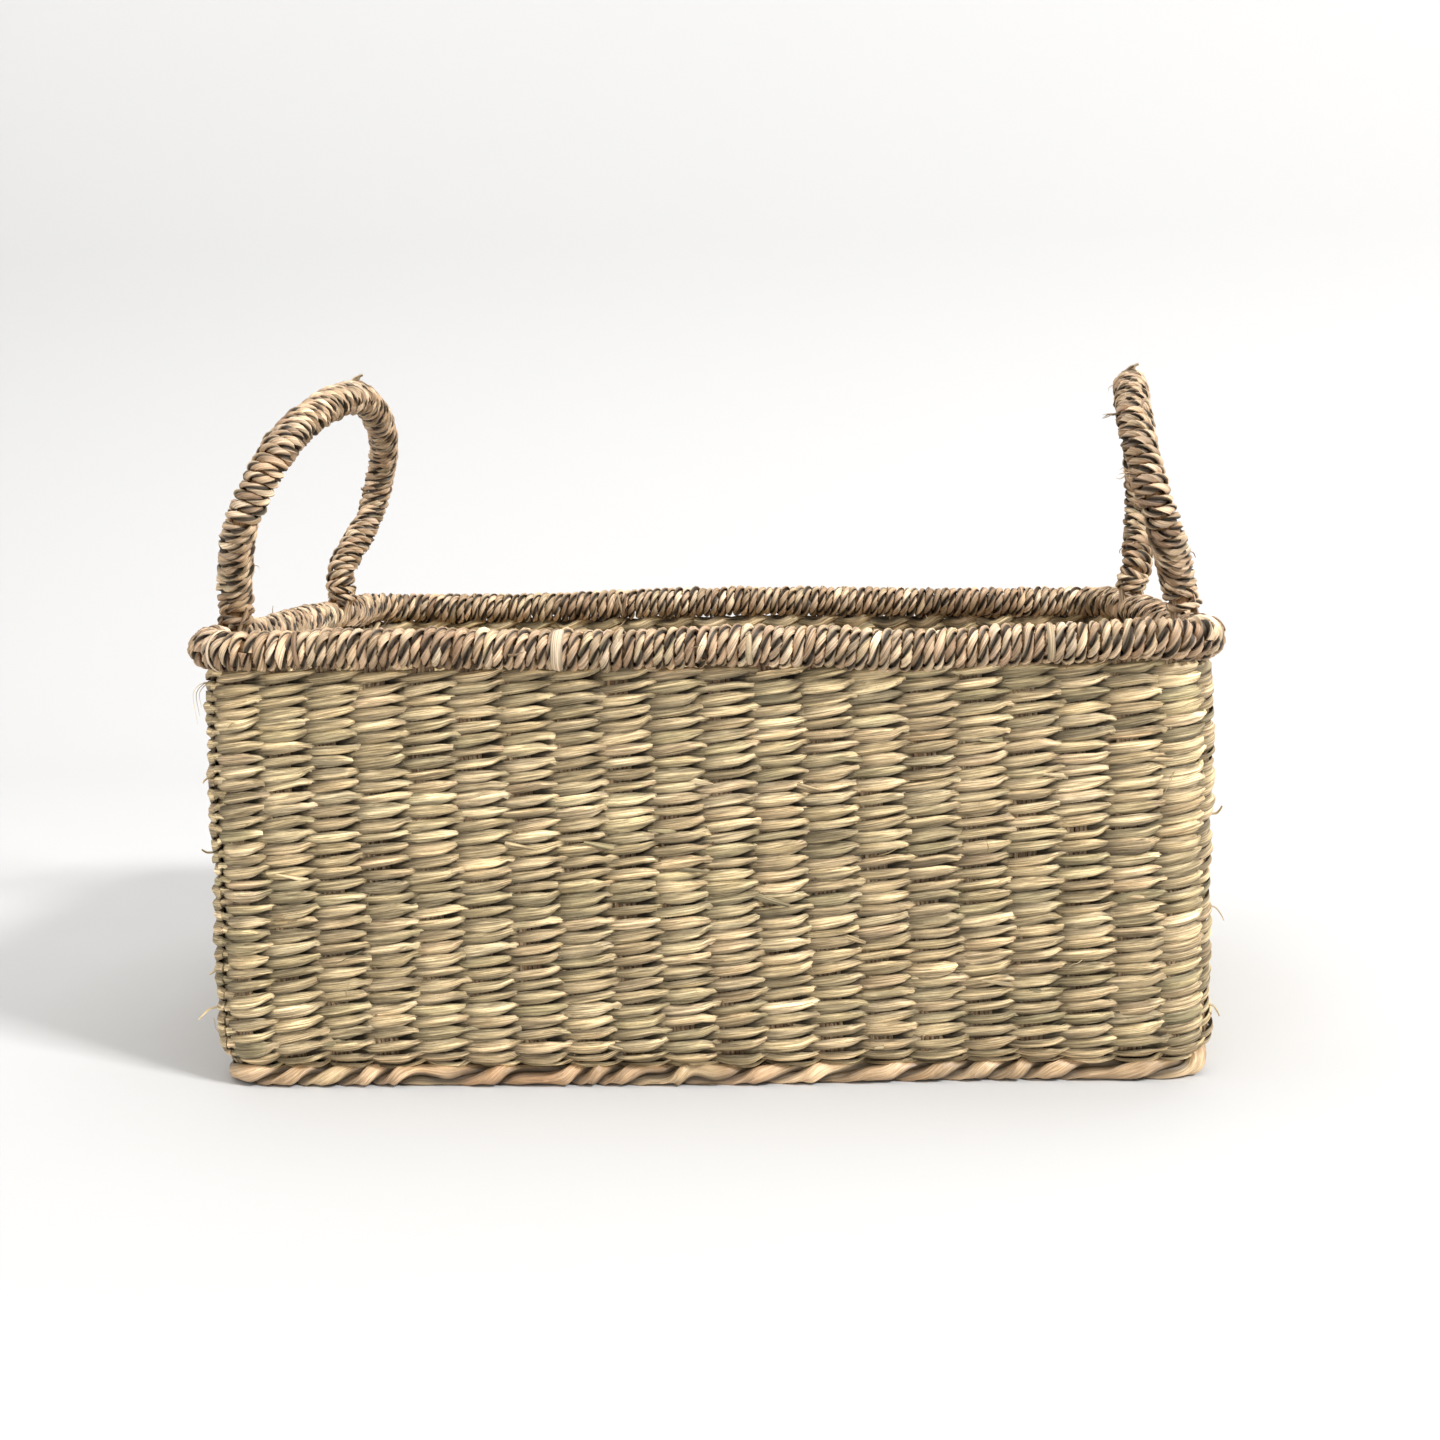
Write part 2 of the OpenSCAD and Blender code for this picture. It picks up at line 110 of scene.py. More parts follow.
class Strands:
    """Collects swept strands and makes one mesh of them. Each point keeps its strand's colour, times any
    painted shade and highlight, in 'tint' and its place on the leaf, in millimetres, in 'leaf'."""

    def __init__(self):
        self.co, self.tint, self.leaf = [], [], []
        self.quads, self.caps = [], []
        self.n = 0

    def add(self, P, N, B, sec, tint, along, across=None, closed=False, edge=None):
        """P, N, B: (S, n, 3) middle line and section axes. sec: (S, n, m, 2) section points along N and B.
        tint: (S, n, 3) linear colour. along: (S, n) millimetres along the strand. edge: painted shade and
        highlight, a factor for each section point that the colour is multiplied by."""
        S, n = P.shape[:2]
        m = sec.shape[2]
        co = P[:, :, None] + sec[..., :1] * N[:, :, None] + sec[..., 1:] * B[:, :, None]
        self.co.append(co.reshape(-1, 3))
        t = np.ones((S, n, m, 4))
        # painted shade and highlight (edge) is multiplied into the colour
        t[..., :3] = tint[:, :, None] if edge is None else tint[:, :, None] * edge[..., None]
        self.tint.append(t.reshape(-1, 4))
        leaf = np.empty((S, n, m, 3))
        leaf[..., 0] = along[:, :, None]
        leaf[..., 1] = sec[..., 1] if across is None else across
        leaf[..., 2] = sec[..., 0]
        self.leaf.append(leaf.reshape(-1, 3))
        idx = self.n + np.arange(S * n * m).reshape(S, n, m)
        if closed:
            idx = np.concatenate([idx, idx[:, :1]], 1)
        # faces look outwards whichever way the section axes were given
        T = np.gradient(P, axis=1)
        turn = ((np.cross(N, B) * T).sum(-1)).sum(1)
        after = np.roll(sec, -1, 2)
        area = (sec[..., 0] * after[..., 1] - sec[..., 1] * after[..., 0]).sum((1, 2))
        back = turn * area < 0
        idx[back] = idx[back][..., ::-1]
        nxt = np.roll(idx, -1, 2)
        q = np.stack([idx[:, :-1], nxt[:, :-1], nxt[:, 1:], idx[:, 1:]], -1)
        self.quads.append(q.reshape(-1, 4))
        if not closed:
            self.caps.append(idx[:, 0, ::-1])
            self.caps.append(idx[:, -1])
        self.n += S * n * m

    def one(self, P, N, B, sec, tint, s, rng, spread=900, edge=None):
        """Adds a single strand. P, N, B: (n, 3). tint: a colour or (n, 3). s: (n,) millimetres along. edge:
        painted shade and highlight round the section.
        """
        along = s + rng.uniform(0, spread)
        across = sec[..., 1] + rng.uniform(0, 300)
        tint = np.broadcast_to(tint, (1, len(P), 3))
        if edge is not None:
            edge = np.broadcast_to(edge, (1, len(P), sec.shape[2]))
        self.add(P[None], N[None], B[None], sec, tint, along[None], across, edge=edge)

    def build(self, name, material, slot, body, replaces=(), sharp=38, warp=None):
        co = np.concatenate(self.co)
        if warp is not None:
            co = warp(co)
        quads = np.concatenate(self.quads)
        loops = [quads.ravel()] + [c.ravel() for c in self.caps]
        sizes = [np.full(len(quads), 4)] + [np.full(len(c), c.shape[1]) for c in self.caps]
        loops, sizes = np.concatenate(loops), np.concatenate(sizes)
        mesh = bpy.data.meshes.new(name)
        mesh.vertices.add(len(co))
        mesh.vertices.foreach_set("co", (co * MM).astype(np.float32).ravel())
        mesh.loops.add(len(loops))
        mesh.loops.foreach_set("vertex_index", loops.astype(np.int32))
        mesh.polygons.add(len(sizes))
        starts = np.concatenate([[0], np.cumsum(sizes)[:-1]])
        mesh.polygons.foreach_set("loop_start", starts.astype(np.int32))
        mesh.polygons.foreach_set("use_smooth", np.ones(len(sizes), bool))
        mesh.update(calc_edges=True)
        for key, kind, field, values in (("tint", "FLOAT_COLOR", "color", self.tint),
                                         ("leaf", "FLOAT_VECTOR", "vector", self.leaf)):
            data = mesh.attributes.new(key, kind, "POINT").data
            data.foreach_set(field, np.concatenate(values).astype(np.float32).ravel())
        if sharp:
            mesh.set_sharp_from_angle(angle=math.radians(sharp))
        mesh.materials.append(material)
        obj = placed(name, mesh)
        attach(obj, body)
        if replaces:
            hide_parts(*replaces)
        return obj


def leaf_section(w, t, crease, bulge=0.0):
    """A folded leaf, eight points round: thin edges and a ridge on each face. Inputs (S, n)."""
    h = w / 2
    c = crease * h
    z = 0 * h
    b = np.stack([-h, (c - h) / 2, c, (c + h) / 2, h, (h - c) / 2, -c, (-h - c) / 2], -1)
    n = np.stack([z, (0.36 + bulge) * t, 0.6 * t, (0.34 - bulge) * t, z,
                  -(0.36 + bulge) * t, -0.6 * t, -(0.34 - bulge) * t], -1)
    return np.stack([n, b], -1)


def round_section(ra, rb, m, phase=0.0):
    """An oval section of m points with radii ra along N and rb along B. ra, rb: (S, n)."""
    a = 2 * np.pi * (np.arange(m) + phase) / m
    return np.stack([ra[..., None] * np.cos(a), rb[..., None] * np.sin(a)], -1)


def turned(sec, angle):
    """The section turned about the strand's middle line."""
    c, s = np.cos(angle)[..., None], np.sin(angle)[..., None]
    return np.stack([sec[..., 0] * c - sec[..., 1] * s, sec[..., 0] * s + sec[..., 1] * c], -1)


def srgb(*rgb):
    """A colour given in 0 to 255 as linear values."""
    c = np.array(rgb, float) / 255
    return np.where(c <= 0.04045, c / 12.92, ((c + 0.055) / 1.055) ** 2.4)


# ---- materials
def straw(name, rough=(0.5, 0.75), streak=0.6, fine=1.0, bump=0.35, spots=0.35, spec=0.35):
    """Dried leaf or stem: colour from the strand's tint, with its painted shade and highlight, streaked
    along its length.
    """
    m = bpy.data.materials.new(name)
    m.use_nodes = True
    nodes, links = m.node_tree.nodes, m.node_tree.links
    bsdf = nodes["Principled BSDF"]

    def node(kind, inputs, **settings):
        n = nodes.new("ShaderNode" + kind)
        for key, value in settings.items():
            setattr(n, key, value)
        for key, value in inputs.items():
            if isinstance(value, bpy.types.NodeSocket):
                links.new(value, n.inputs[key])
            else:
                n.inputs[key].default_value = value
        return n.outputs

    def scaled(x, y, z):
        return node("VectorMath", {0: leaf, 1: (x, y, z)}, operation="MULTIPLY")[0]

    def noise(vector, detail, roughness=0.55, distortion=0.0):
        return node("TexNoise", {"Scale": 1.0, "Detail": detail, "Roughness": roughness,
                                 "Distortion": distortion, "Vector": vector})["Fac"]

    def ramp(value, a, b, low, high):
        return node("MapRange", {"From Min": a, "From Max": b, "To Min": low, "To Max": high,
                                 "Value": value})["Result"]

    def mul(a, b):
        return node("Math", {0: a, 1: b}, operation="MULTIPLY")[0]

    leaf = node("Attribute", {}, attribute_name="leaf")["Vector"]
    tint = node("Attribute", {}, attribute_name="tint")["Color"]
    fibres = noise(scaled(0.055, 2.4 * fine, 2.4 * fine), 3.0, 0.6, 0.1)
    ribs = noise(scaled(0.03, 6.0 * fine, 6.0 * fine), 1.0)
    blotch = noise(scaled(0.16, 0.35, 0.35), 3.0, 0.6)
    specks = noise(scaled(1.1, 2.2, 2.2), 2.0, 0.7)
    broad = noise(scaled(0.045, 0.95 * fine, 0.95 * fine), 1.0, 0.5)
    shade = mul(ramp(fibres, 0.3, 0.7, 1 - streak, 1 + streak * 0.8),
                ramp(blotch, 0.25, 0.75, 0.86, 1.14))
    shade = mul(shade, ramp(ribs, 0.3, 0.7, 0.86, 1.12))
    shade = mul(shade, ramp(broad, 0.36, 0.64, 1 - streak * 0.62, 1 + streak * 0.5))
    shade = mul(shade, ramp(specks, 0.28, 0.38, 1 - spots, 1.0))
    shaded = node("VectorMath", {0: tint, "Scale": shade}, operation="SCALE")[0]
    # the dark fibres are warmer
    warm = node("Mix", {"Factor": ramp(fibres, 0.62, 0.36, 0.0, 0.7), "A": shaded,
                        "B": (0.95, 0.84, 0.66, 1)}, data_type="RGBA", blend_type="MULTIPLY")
    links.new(warm["Result"], bsdf.inputs["Base Color"])
    links.new(ramp(blotch, 0.3, 0.7, *rough), bsdf.inputs["Roughness"])
    height = mul(fibres, ramp(ribs, 0.2, 0.8, 0.7, 1.3))
    grain = node("Bump", {"Strength": bump, "Distance": 0.0004, "Height": height})
    links.new(grain["Normal"], bsdf.inputs["Normal"])
    bsdf.inputs["Specular IOR Level"].default_value = spec
    return m


weft_mat = straw("seagrass_weft")
base_mat = straw("seagrass_base", bump=0.3)
stake_mat = straw("stake_stems", rough=(0.6, 0.8), streak=0.35, spots=0.3)
rim_mat = straw("rim_cord", rough=(0.42, 0.7), streak=0.4, fine=1.3)
grip_mat = straw("handle_cord", rough=(0.42, 0.7), streak=0.4, fine=1.3)
strap_mat = straw("strap_leaf", rough=(0.45, 0.7), streak=0.35)
foot_mat = straw("foot_cord", rough=(0.32, 0.6), streak=0.3, spots=0.2, spec=0.5)
cane_mat = straw("cane_core", rough=(0.4, 0.6), streak=0.3)

PALETTE = np.array([srgb(203, 180, 145), srgb(190, 170, 136), srgb(176, 161, 130),
                    srgb(215, 194, 160), srgb(190, 166, 133), srgb(229, 211, 180),
                    srgb(156, 149, 122), srgb(170, 162, 124)])
# the leaves differ more in how light they are than in hue
SAME_HUE = PALETTE.mean(1, keepdims=True) * PALETTE.mean(0) / PALETTE.mean()
PALETTE = (0.45 * PALETTE + 0.55 * SAME_HUE) * (1.09, 1.07, 1.0)
WEIGHTS = np.array([0.25, 0.17, 0.14, 0.15, 0.06, 0.07, 0.07, 0.09])


def strand_tints(rng, S, n, run=(4, 16), spread=0.13, palette=PALETTE, weights=WEIGHTS, mix=0.35):
    """(S, n, 3) colours: each strand keeps one leaf's colour for a while, then another's."""
    out = np.empty((S, n, 3))
    for s in range(S):
        i = 0
        while i < n:
            k = int(rng.integers(*run))
            c = palette[rng.choice(len(palette), p=weights / weights.sum())]
            d = palette[rng.choice(len(palette), p=weights / weights.sum())]
            out[s, i:i + k] = c * (1 - mix) + d * mix
            i += k
    out *= np.exp(rng.normal(0, spread, (S, n, 1)))
    out *= np.exp(rng.normal(0, 0.012, (S, n, 3)))
    return out


# ---- where the walls run
def plan_len(length, inset):
    """Point and outward normal on the wall's plan curve, pulled in by inset. length starts at the
    front wall's left end and runs towards +X. Each side is a straight wall and the corner after it."""
    r = np.maximum(CORNER - inset, 2.0)
    arc = r * np.pi / 2
    total = 4 * (SX + SY) + 4 * arc
    s = np.mod(length, total)
    px, py, nx, ny, start = (np.zeros_like(s) for _ in range(5))
    cx, cy = -SX, -SY
    for side in range(4):
        wall = 2 * (SY if side % 2 else SX)
        a0 = (side - 1) * np.pi / 2
        tx, ty = -np.sin(a0), np.cos(a0)
        d = s - start
        a = a0 + np.maximum(d - wall, 0) / r
        ax, ay = np.cos(a), np.sin(a)
        along = np.clip(d, 0, wall)
        px = np.where(d >= 0, cx + tx * along + r * ax, px)
        py = np.where(d >= 0, cy + ty * along + r * ay, py)
        nx, ny = np.where(d >= 0, ax, nx), np.where(d >= 0, ay, ny)
        cx, cy = cx + tx * wall, cy + ty * wall
        start = start + wall + arc
    return px, py, nx, ny, total


def stations(inset):
    """Lengths of the 66 stakes along the plan curve of one course, and its whole length."""
    r = max(CORNER - inset, 2.0)
    arc = r * np.pi / 2
    x0, y0 = 2 * SX, 2 * SY
    out, start = [], 0.0
    for side in range(4):
        at = (CROSS_X + SX) if side % 2 == 0 else (LENGTH_Y + SY)
        out += list(start + at)
        start += x0 if side % 2 == 0 else y0
        out += [start + math.radians(23) * r, start + math.radians(67) * r]
        start += arc
    return np.array(out), start


def profile(t):
    """Inset, height and outward tilt of the wall at a distance t up from the base's edge."""
    arc = BEND * np.pi / 2
    p = np.clip(t, 0, arc) / BEND
    inset = BEND * (1 - np.sin(p))
    z = BASE_Z + BEND * (1 - np.cos(p)) + np.maximum(t - arc, 0)
    return inset, z, p


T_TOP = BEND * np.pi / 2 + WEFT_TOP - BASE_Z - BEND
wave_z, wave_n, wave_q = Noise(11), Noise(12), Noise(13)


def wall_point(q, t, depth, up):
    """Point on the woven wall: q in stakes, t up the wall, depth outwards and up along the wall.
    All arrays of one shape. Returns point, outward axis and up axis."""
    inset, z, p = profile(t)
    # lengths are worked out at two insets and blended, because only the corners change
    k = inset / BEND
    length = (1 - k) * np.interp(q, QS, STAKES_FULL) + k * np.interp(q, QS, STAKES_BENT)
    px, py, nx, ny, _ = plan_len(length, inset)
    c, s = np.cos(p), np.sin(p)
    normal = np.stack([nx * s, ny * s, -c], -1)
    upward = np.stack([nx * c, ny * c, s], -1)
    P = np.stack([px, py, z], -1)
    return P + normal * depth[..., None] + upward * up[..., None], normal, upward


def three_rounds(inset):
    """The stakes' lengths for one round before, the round itself and one after."""
    at, total = stations(inset)
    return np.concatenate([at - total, at, at + total, [at[0] + 2 * total]])


QS = np.arange(-NSTAKE, 2 * NSTAKE + 1, dtype=float)
STAKES_FULL, STAKES_BENT = three_rounds(0.0), three_rounds(BEND)


def body_warp(co):
    """How the handmade body leans: its foot stands a little to the right, the front's foot bows
    forwards and the left corner is drawn in."""
    co = co.copy()
    x, y, z = co[:, 0].copy(), co[:, 1].copy(), co[:, 2]
    down = np.clip((RIM_Z - 6 - z) / RIM_Z, 0, 1)
    under = smooth((RIM_Z - 8 - z) / 10)        # nothing moves where the wall meets the hoop
    right = smooth((x + 150) / 300)
    foot = smooth((30 - z) / 30)
    co[:, 0] += under * ((1 - right) * (-1.8 + 4.4 * down) + right * (0.8 + 4.8 * down + 1.8 * foot))
    front = smooth((60 - y) / 160) * smooth((115 - x) / 120)
    co[:, 1] += down * (-2.5 + 7.0 * x / 190) - 5.5 * down * down * front
    return co


# ---- twined courses
STEPS = 10          # rings per stake pitch
N_COURSES = 34
COURSE = (T_TOP + 1.2) / N_COURSES
# where each side begins and ends, in stakes: half way round the corners
SIDE_RANGES = {"front": (-1.5, 18.5), "right": (18.5, 31.5), "back": (31.5, 51.5), "left": (51.5, 64.5)}
# round a leaf's section: painted shade at the thin edges and painted highlight on the ridges, and which
# face each point is on
PAINTED_SECTION_SHADE = np.array([0.4, 0.98, 1.13, 0.84, 0.4, 0.98, 1.13, 0.84])
FACING = np.array([0, 1, 1, 1, 0, -1, -1, -1])
HALF = np.array([0, 1, 0, -1, 0, -1, 0, 1])
# one stitch, from the stake before (-1) to the stake after (1) the stake that it covers: it starts
# wide and low under its neighbour and ends in a high point over the next one
SPINDLE_D = [-1, -0.8, -0.62, -0.5, -0.38, -0.15, 0.12, 0.3, 0.45, 0.6, 0.7, 0.85, 1]
SPINDLE_W = [5.6, 5.5, 5.3, 5.1, 4.9, 4.7, 4.55, 4.15, 3.35, 2.3, 3.4, 5.1, 5.6]
SPINDLE_OUT = [-1, -0.92, -0.7, -0.48, -0.12, 0.66, 0.96, 1.04, 0.98, 0.55, -0.1, -0.8, -1]
# painted shade: darkest where the stitch lies low under its neighbour; painted light at its high point
SPINDLE_PAINTED_SHADE = [1, 0.9, 0.64, 0.46, 0.5, 0.9, 1.02, 1.06, 1.1, 1.04, 0.9, 0.95, 1]


def interp_spindle(values, rows, q, sharpness=3.0):
    """Values held at whole stakes, changing quickly half way between two."""
    n = values.shape[1]
    i = np.floor(q).astype(int)
    u = smooth((q - i - 0.5) * sharpness + 0.5)
    if values.ndim == 3:
        u = u[..., None]
    return values[rows[:, None], i % n] * (1 - u) + values[rows[:, None], (i + 1) % n] * u


def twine(rng, strands, q, rows, n_rows, t_rows, point, tints, swing=1.9, rise=1.8, wide=1.0,
          thick=1.7, period=NSTAKE):
    """Both strands of the given rows. q: (n,) stakes. t_rows: each row's place across the courses.
    point(q, t, depth, up) gives a place and two axes. The random values cover all n_rows rows."""
    shape = (len(t_rows), len(q))
    Q = np.broadcast_to(q, shape)
    T = np.broadcast_to(t_rows[:, None], shape)
    # stakes from the nearest corner
    half_round = NSTAKE / 2
    bend = np.min([np.abs(np.mod(Q - first + half_round, NSTAKE) - half_round)
                   for first, _ in SIDE_RANGES.values()], 0)

    def val():
        return interp_spindle(rng.normal(0, 1, (n_rows, period)), rows, Q)

    for strand in (0, 1):
        d = np.mod(Q + strand + 1, 2) - 1          # distance to the stake that this strand covers
        ds = np.mod(Q + strand + 1 + 0.05 * val(), 2) - 1
        depth = (swing + 0.3 * val()) * np.interp(ds, SPINDLE_D, SPINDLE_OUT)
        # a corner has no notch where its strands cross
        depth = depth + 1.1 * np.exp(-(bend / 0.55) ** 2) * np.clip(1.15 - np.abs(depth) / swing, 0, 1)
        h = np.interp(d, [-1, -0.86, -0.66, 0.66, 0.86, 1], [0, -0.75, -1, 1, 0.75, 0])
        up = rise * h * np.exp(0.16 * val()) + 0.28 * val()
        mid = np.clip(1 - np.minimum(np.abs(d), 1 - np.abs(d)) / 0.5, 0, 1)
        w = wide * np.interp(d, SPINDLE_D, SPINDLE_W) * np.exp(0.14 * val())
        w = w * (1 + 0.15 * np.exp(-(bend / 1.2) ** 2))      # the leaves crowd together at the corners
        t = thick * (0.8 + 0.25 * mid) * np.exp(0.14 * val())
        crease = np.clip(0.1 + 0.42 * val(), -0.6, 0.6)
        psi = 0.2 * val() + 0.2 * np.sin(np.pi * d) * np.sign(depth)
        P, N, U = point(Q, T, depth, up)
        tang = unit(np.gradient(P, axis=1))
        B = square(U, tang)
        Nn = unit(np.cross(tang, B))
        Nn *= np.sign((Nn * N).sum(-1, keepdims=True))
        sec = turned(leaf_section(w, t, crease, 0.06 * val()), psi)
        tint = interp_spindle(tints[strand], rows, Q, 4.0)
        # painted shade where the stitch dips under its neighbour, painted light where it stands high
        tint = tint * np.interp(d, SPINDLE_D, SPINDLE_PAINTED_SHADE)[..., None]
        # the two halves of a folded leaf catch the light differently, and the face turned to the
        # wall's middle lies in the dark
        half = (0.16 * val())[..., None] * HALF
        out = (0.9 * depth / swing)[..., None] * FACING + 0.72 - 0.22 * (FACING == 0)
        deep = np.clip(out, 0, 1)
        # painted shade at the leaf's thin edges and on the face turned inwards, painted highlight on its
        # ridge
        edge = PAINTED_SECTION_SHADE * np.exp(half) * (0.16 + 0.84 * smooth(deep * 1.6))
        along = Q * PITCH + rng.uniform(0, 900, (n_rows, 1))[rows]
        across = sec[..., 1] + rng.uniform(0, 300, (n_rows, 1, 1))[rows]
        strands.add(P, Nn, B, sec, tint, along, across, edge=edge)


def wall_point_wavy(Q, T, depth, up):
    """wall_point with the waves of handwork: courses that rise and sink, walls that bulge."""
    lift = 0.85 * wave_z(Q / 5.0 + 40, T / 26.0) + 0.35 * wave_z(Q / 1.7, T / 12.0 + 9)
    ease = smooth(T / 25) * smooth((T_TOP - T) / 8 + 0.35)
    # the courses dip towards the front left corner near the foot
    turn = np.mod(Q + 1.5 + NSTAKE / 2, NSTAKE) - NSTAKE / 2
    lift = lift - 3.2 * np.exp(-(turn / 1.7) ** 2) * smooth((75 - T) / 75) * smooth(T / 14)
    bulge = 0.75 * wave_n(Q / 4.0 + 11, T / 38.0) + 0.35 * wave_n(Q / 1.3, T / 9.0)
    return wall_point(Q + 0.05 * wave_q(Q / 2.5, T / 14.0), T, depth + bulge * ease, up + lift * ease)


def course_tints(seed, n_rows, n):
    rng = np.random.default_rng(seed)
    return [strand_tints(rng, n_rows, n) for _ in (0, 1)]


def walls():
    """The four sides in two bands each. The upper bands stand in for the walls' nodes."""
    tints = course_tints(300, N_COURSES, NSTAKE)
    for side, (q0, q1) in SIDE_RANGES.items():
        q = np.linspace(q0, q1, int(round((q1 - q0) * STEPS)) + 1)
        for band, rows in enumerate(np.array_split(np.arange(N_COURSES), 2)):
            st = Strands()
            twine(np.random.default_rng(100), st, q, rows, N_COURSES, (rows + 0.5) * COURSE,
                  wall_point_wavy, tints)
            names = ["weft_" + side] if band else []
            if band and side in ("front", "back"):
                names += [f"weft_corner_{side}_left", f"weft_corner_{side}_right"]
            st.build(f"{side}_courses_{'upper' if band else 'lower'}", weft_mat, "weft", "basket",
                     names, warp=body_warp)


walls()

# ---- upright stakes
stake_noise = Noise(31)
# the stems' colours, darkened by 0.72 as painted shade for the gaps between the courses where they show
STAKE_TINT_WITH_PAINTED_SHADE = 0.72 * np.array([srgb(158, 132, 102), srgb(172, 146, 114), srgb(140, 114, 88),
                              srgb(184, 160, 128)])
FOOT_GAPS = [(-1, -88.0), (-1, 58.0), (1, -72.0), (1, 50.0)]     # side and y of the handles' feet


def bundle(strands, rng, P, N, B, stems=5, width=8.2, radius=0.85, seed=0):
    """Thin stems lying side by side along one path. P, N, B: (n, 3)."""
    n = len(P)
    s = lengths(P)
    gap = width / stems
    for k in range(stems):
        r = radius * rng.uniform(0.88, 1.08)
        off = (k - (stems - 1) / 2) * gap + 0.28 * stake_noise(s / 22 + 9 * k, seed + 3.3)
        lift = 0.18 * stake_noise(s / 17 + 5 * k, seed + 71.7) + rng.uniform(-0.12, 0.12)
        Q = P + B * off[:, None] + N * lift[:, None]
        a = np.full((1, n), r)
        sec = round_section(a * 0.9, a * min(gap / 2 / r * 1.08, 1.15), 6, phase=rng.uniform(0, 1))
        c = STAKE_TINT_WITH_PAINTED_SHADE[rng.integers(len(STAKE_TINT_WITH_PAINTED_SHADE))] * rng.uniform(0.8, 1.15)
        strands.one(Q, N, B, sec, c, s, rng)


def wall_path(q, top, n=38):
    """One stake up the wall from the base's edge. Returns points, outward normals and sideways axes."""
    t = np.concatenate([np.linspace(0, BEND * 1.5708, 11)[:-1],
                        np.linspace(BEND * 1.5708, BEND * 1.5708 + top - BASE_Z - BEND, n)])
    Q = np.full((1, len(t)), float(q))
    P, N, U = wall_point_wavy(Q, t[None], 0 * Q, 0 * Q)
    # the top end leans out to meet the hoop's middle
    k = smooth((P[..., 2] - (WEFT_TOP - 3)) / 10)[..., None]
    P = P + N * k * 1.0
    side = unit(np.cross(N, U))
    return P[0], N[0], side[0]


def stake_top_at(q):
    """Stakes end just under the hoop, or at the top course where a handle's straps pass."""
    x, y = plan_len(np.interp(q, QS, STAKES_FULL), np.array(0.0))[:2]
    for sx, fy in FOOT_GAPS:
        if sx * x > WALL_X - 5 and abs(y - fy) < 11.5:
            return WEFT_TOP + 0.3
    return RIM_Z - HOOP_R - 0.6


def stakes():
    """The stakes that run right through under the base and the ones at the corners."""
    rng = np.random.default_rng(41)
    cross, length, corner = Strands(), Strands(), Strands()

    def through(strands, q0, q1, seed, lift):
        P0, N0, _ = wall_path(q0, stake_top_at(q0))
        P1, N1, _ = wall_path(q1, stake_top_at(q1))
        n = int(np.linalg.norm(P1[0] - P0[0]) / 3.1)
        u = np.linspace(0, 1, n)[1:-1, None]
        base = P0[0] * (1 - u) + P1[0] * u
        base[:, 2] = BASE_Z + lift(base) * smooth(np.minimum(u, 1 - u)[:, 0] * 14)
        P = np.concatenate([P0[::-1], base, P1])
        N = np.concatenate([N0[::-1], np.broadcast_to((0, 0, -1.0), base.shape), N1])
        T = np.gradient(P, axis=0)
        B = unit(np.cross(N, T))
        bundle(strands, rng, P, N, B, seed=seed)

    # in the base the two sets pass over and under each other
    for i in range(18):
        through(cross, i, 50 - i, i, lambda p, i=i: 1.2 * np.cos(np.pi * (p[:, 1] / PITCH + i)))
    for j in range(11):
        through(length, 63 - j, 20 + j, 100 + j,
                lambda p, j=j: -1.2 * np.cos(np.pi * (p[:, 0] / PITCH + 8.5 + j - 5)))
    for q in (18, 19, 31, 32, 51, 52, 64, 65):
        bundle(corner, rng, *wall_path(q, stake_top_at(q)), seed=200 + q)
    for strands, kind, node in ((cross, "crosswise", "cross"), (length, "lengthwise", "length"),
                                (corner, "corner", "corner")):
        strands.build(kind + "_stakes", stake_mat, "stakes", "basket", ["stakes_" + node], warp=body_warp)


stakes()


# ---- base
def base_weave():
    """Twined pairs of courses between the lengthwise stakes and close rows beyond the last ones."""
    rng = np.random.default_rng(51)
    st = Strands()
    rows = [(j + 0.5) * PITCH + side * 2.4 for j in range(-5, 5) for side in (-1, 1)]
    rows += [side * (5 * PITCH + 6.6 + 4.7 * k) for k in range(4) for side in (-1, 1)]
    rows = np.sort(rows)
    edge = WALL_X - BEND - 2.0
    q = np.linspace(-edge / PITCH + 8.5, edge / PITCH + 8.5, int(2 * edge / PITCH * STEPS * 0.8))

    def point(Q, T, depth, up):
        x = (Q - 8.5) * PITCH
        y = T + up + 0.5 * wave_z(x / 60, T / 30)
        P = np.stack([x, y, BASE_Z - 0.1 - depth], -1)
        N = np.broadcast_to((0.0, 0.0, -1.0), P.shape)
        U = np.broadcast_to((0.0, 1.0, 0.0), P.shape)
        return P, N, U

    tints = course_tints(53, len(rows), 32)
    twine(rng, st, q, np.arange(len(rows)), len(rows), rows, point, tints, swing=1.75, thick=1.1,
          wide=0.9, period=32)
    st.build("base_courses", base_mat, "base_weft", "basket", ["base_weave"], warp=body_warp)


base_weave()


# ---- cords
CORD_TINT = 1.1 * np.array([srgb(188, 162, 134), srgb(168, 143, 117), srgb(206, 182, 153),
                            srgb(150, 124, 99), srgb(180, 162, 134), srgb(224, 204, 178)])
CORD_W = np.array([0.26, 0.22, 0.2, 0.12, 0.12, 0.08])
CANE_TINT = srgb(176, 140, 100)


class Line:
    """A smooth path with an outward axis and an upward axis at each point."""

    def __init__(self, P, N, closed=False):
        self.P = P
        self.s = lengths(P)
        self.T = unit(np.gradient(P, axis=0))
        if closed:
            self.T[0] = self.T[-1] = unit(P[1] - P[-2])
        self.N = square(N, self.T)
        self.U = np.cross(self.T, self.N)
        self.length = self.s[-1]

    def at(self, s):
        P, N, U = (np.stack([np.interp(s, self.s, a[:, i]) for i in range(3)], -1)
                   for a in (self.P, self.N, self.U))
        return P, unit(N), unit(U)


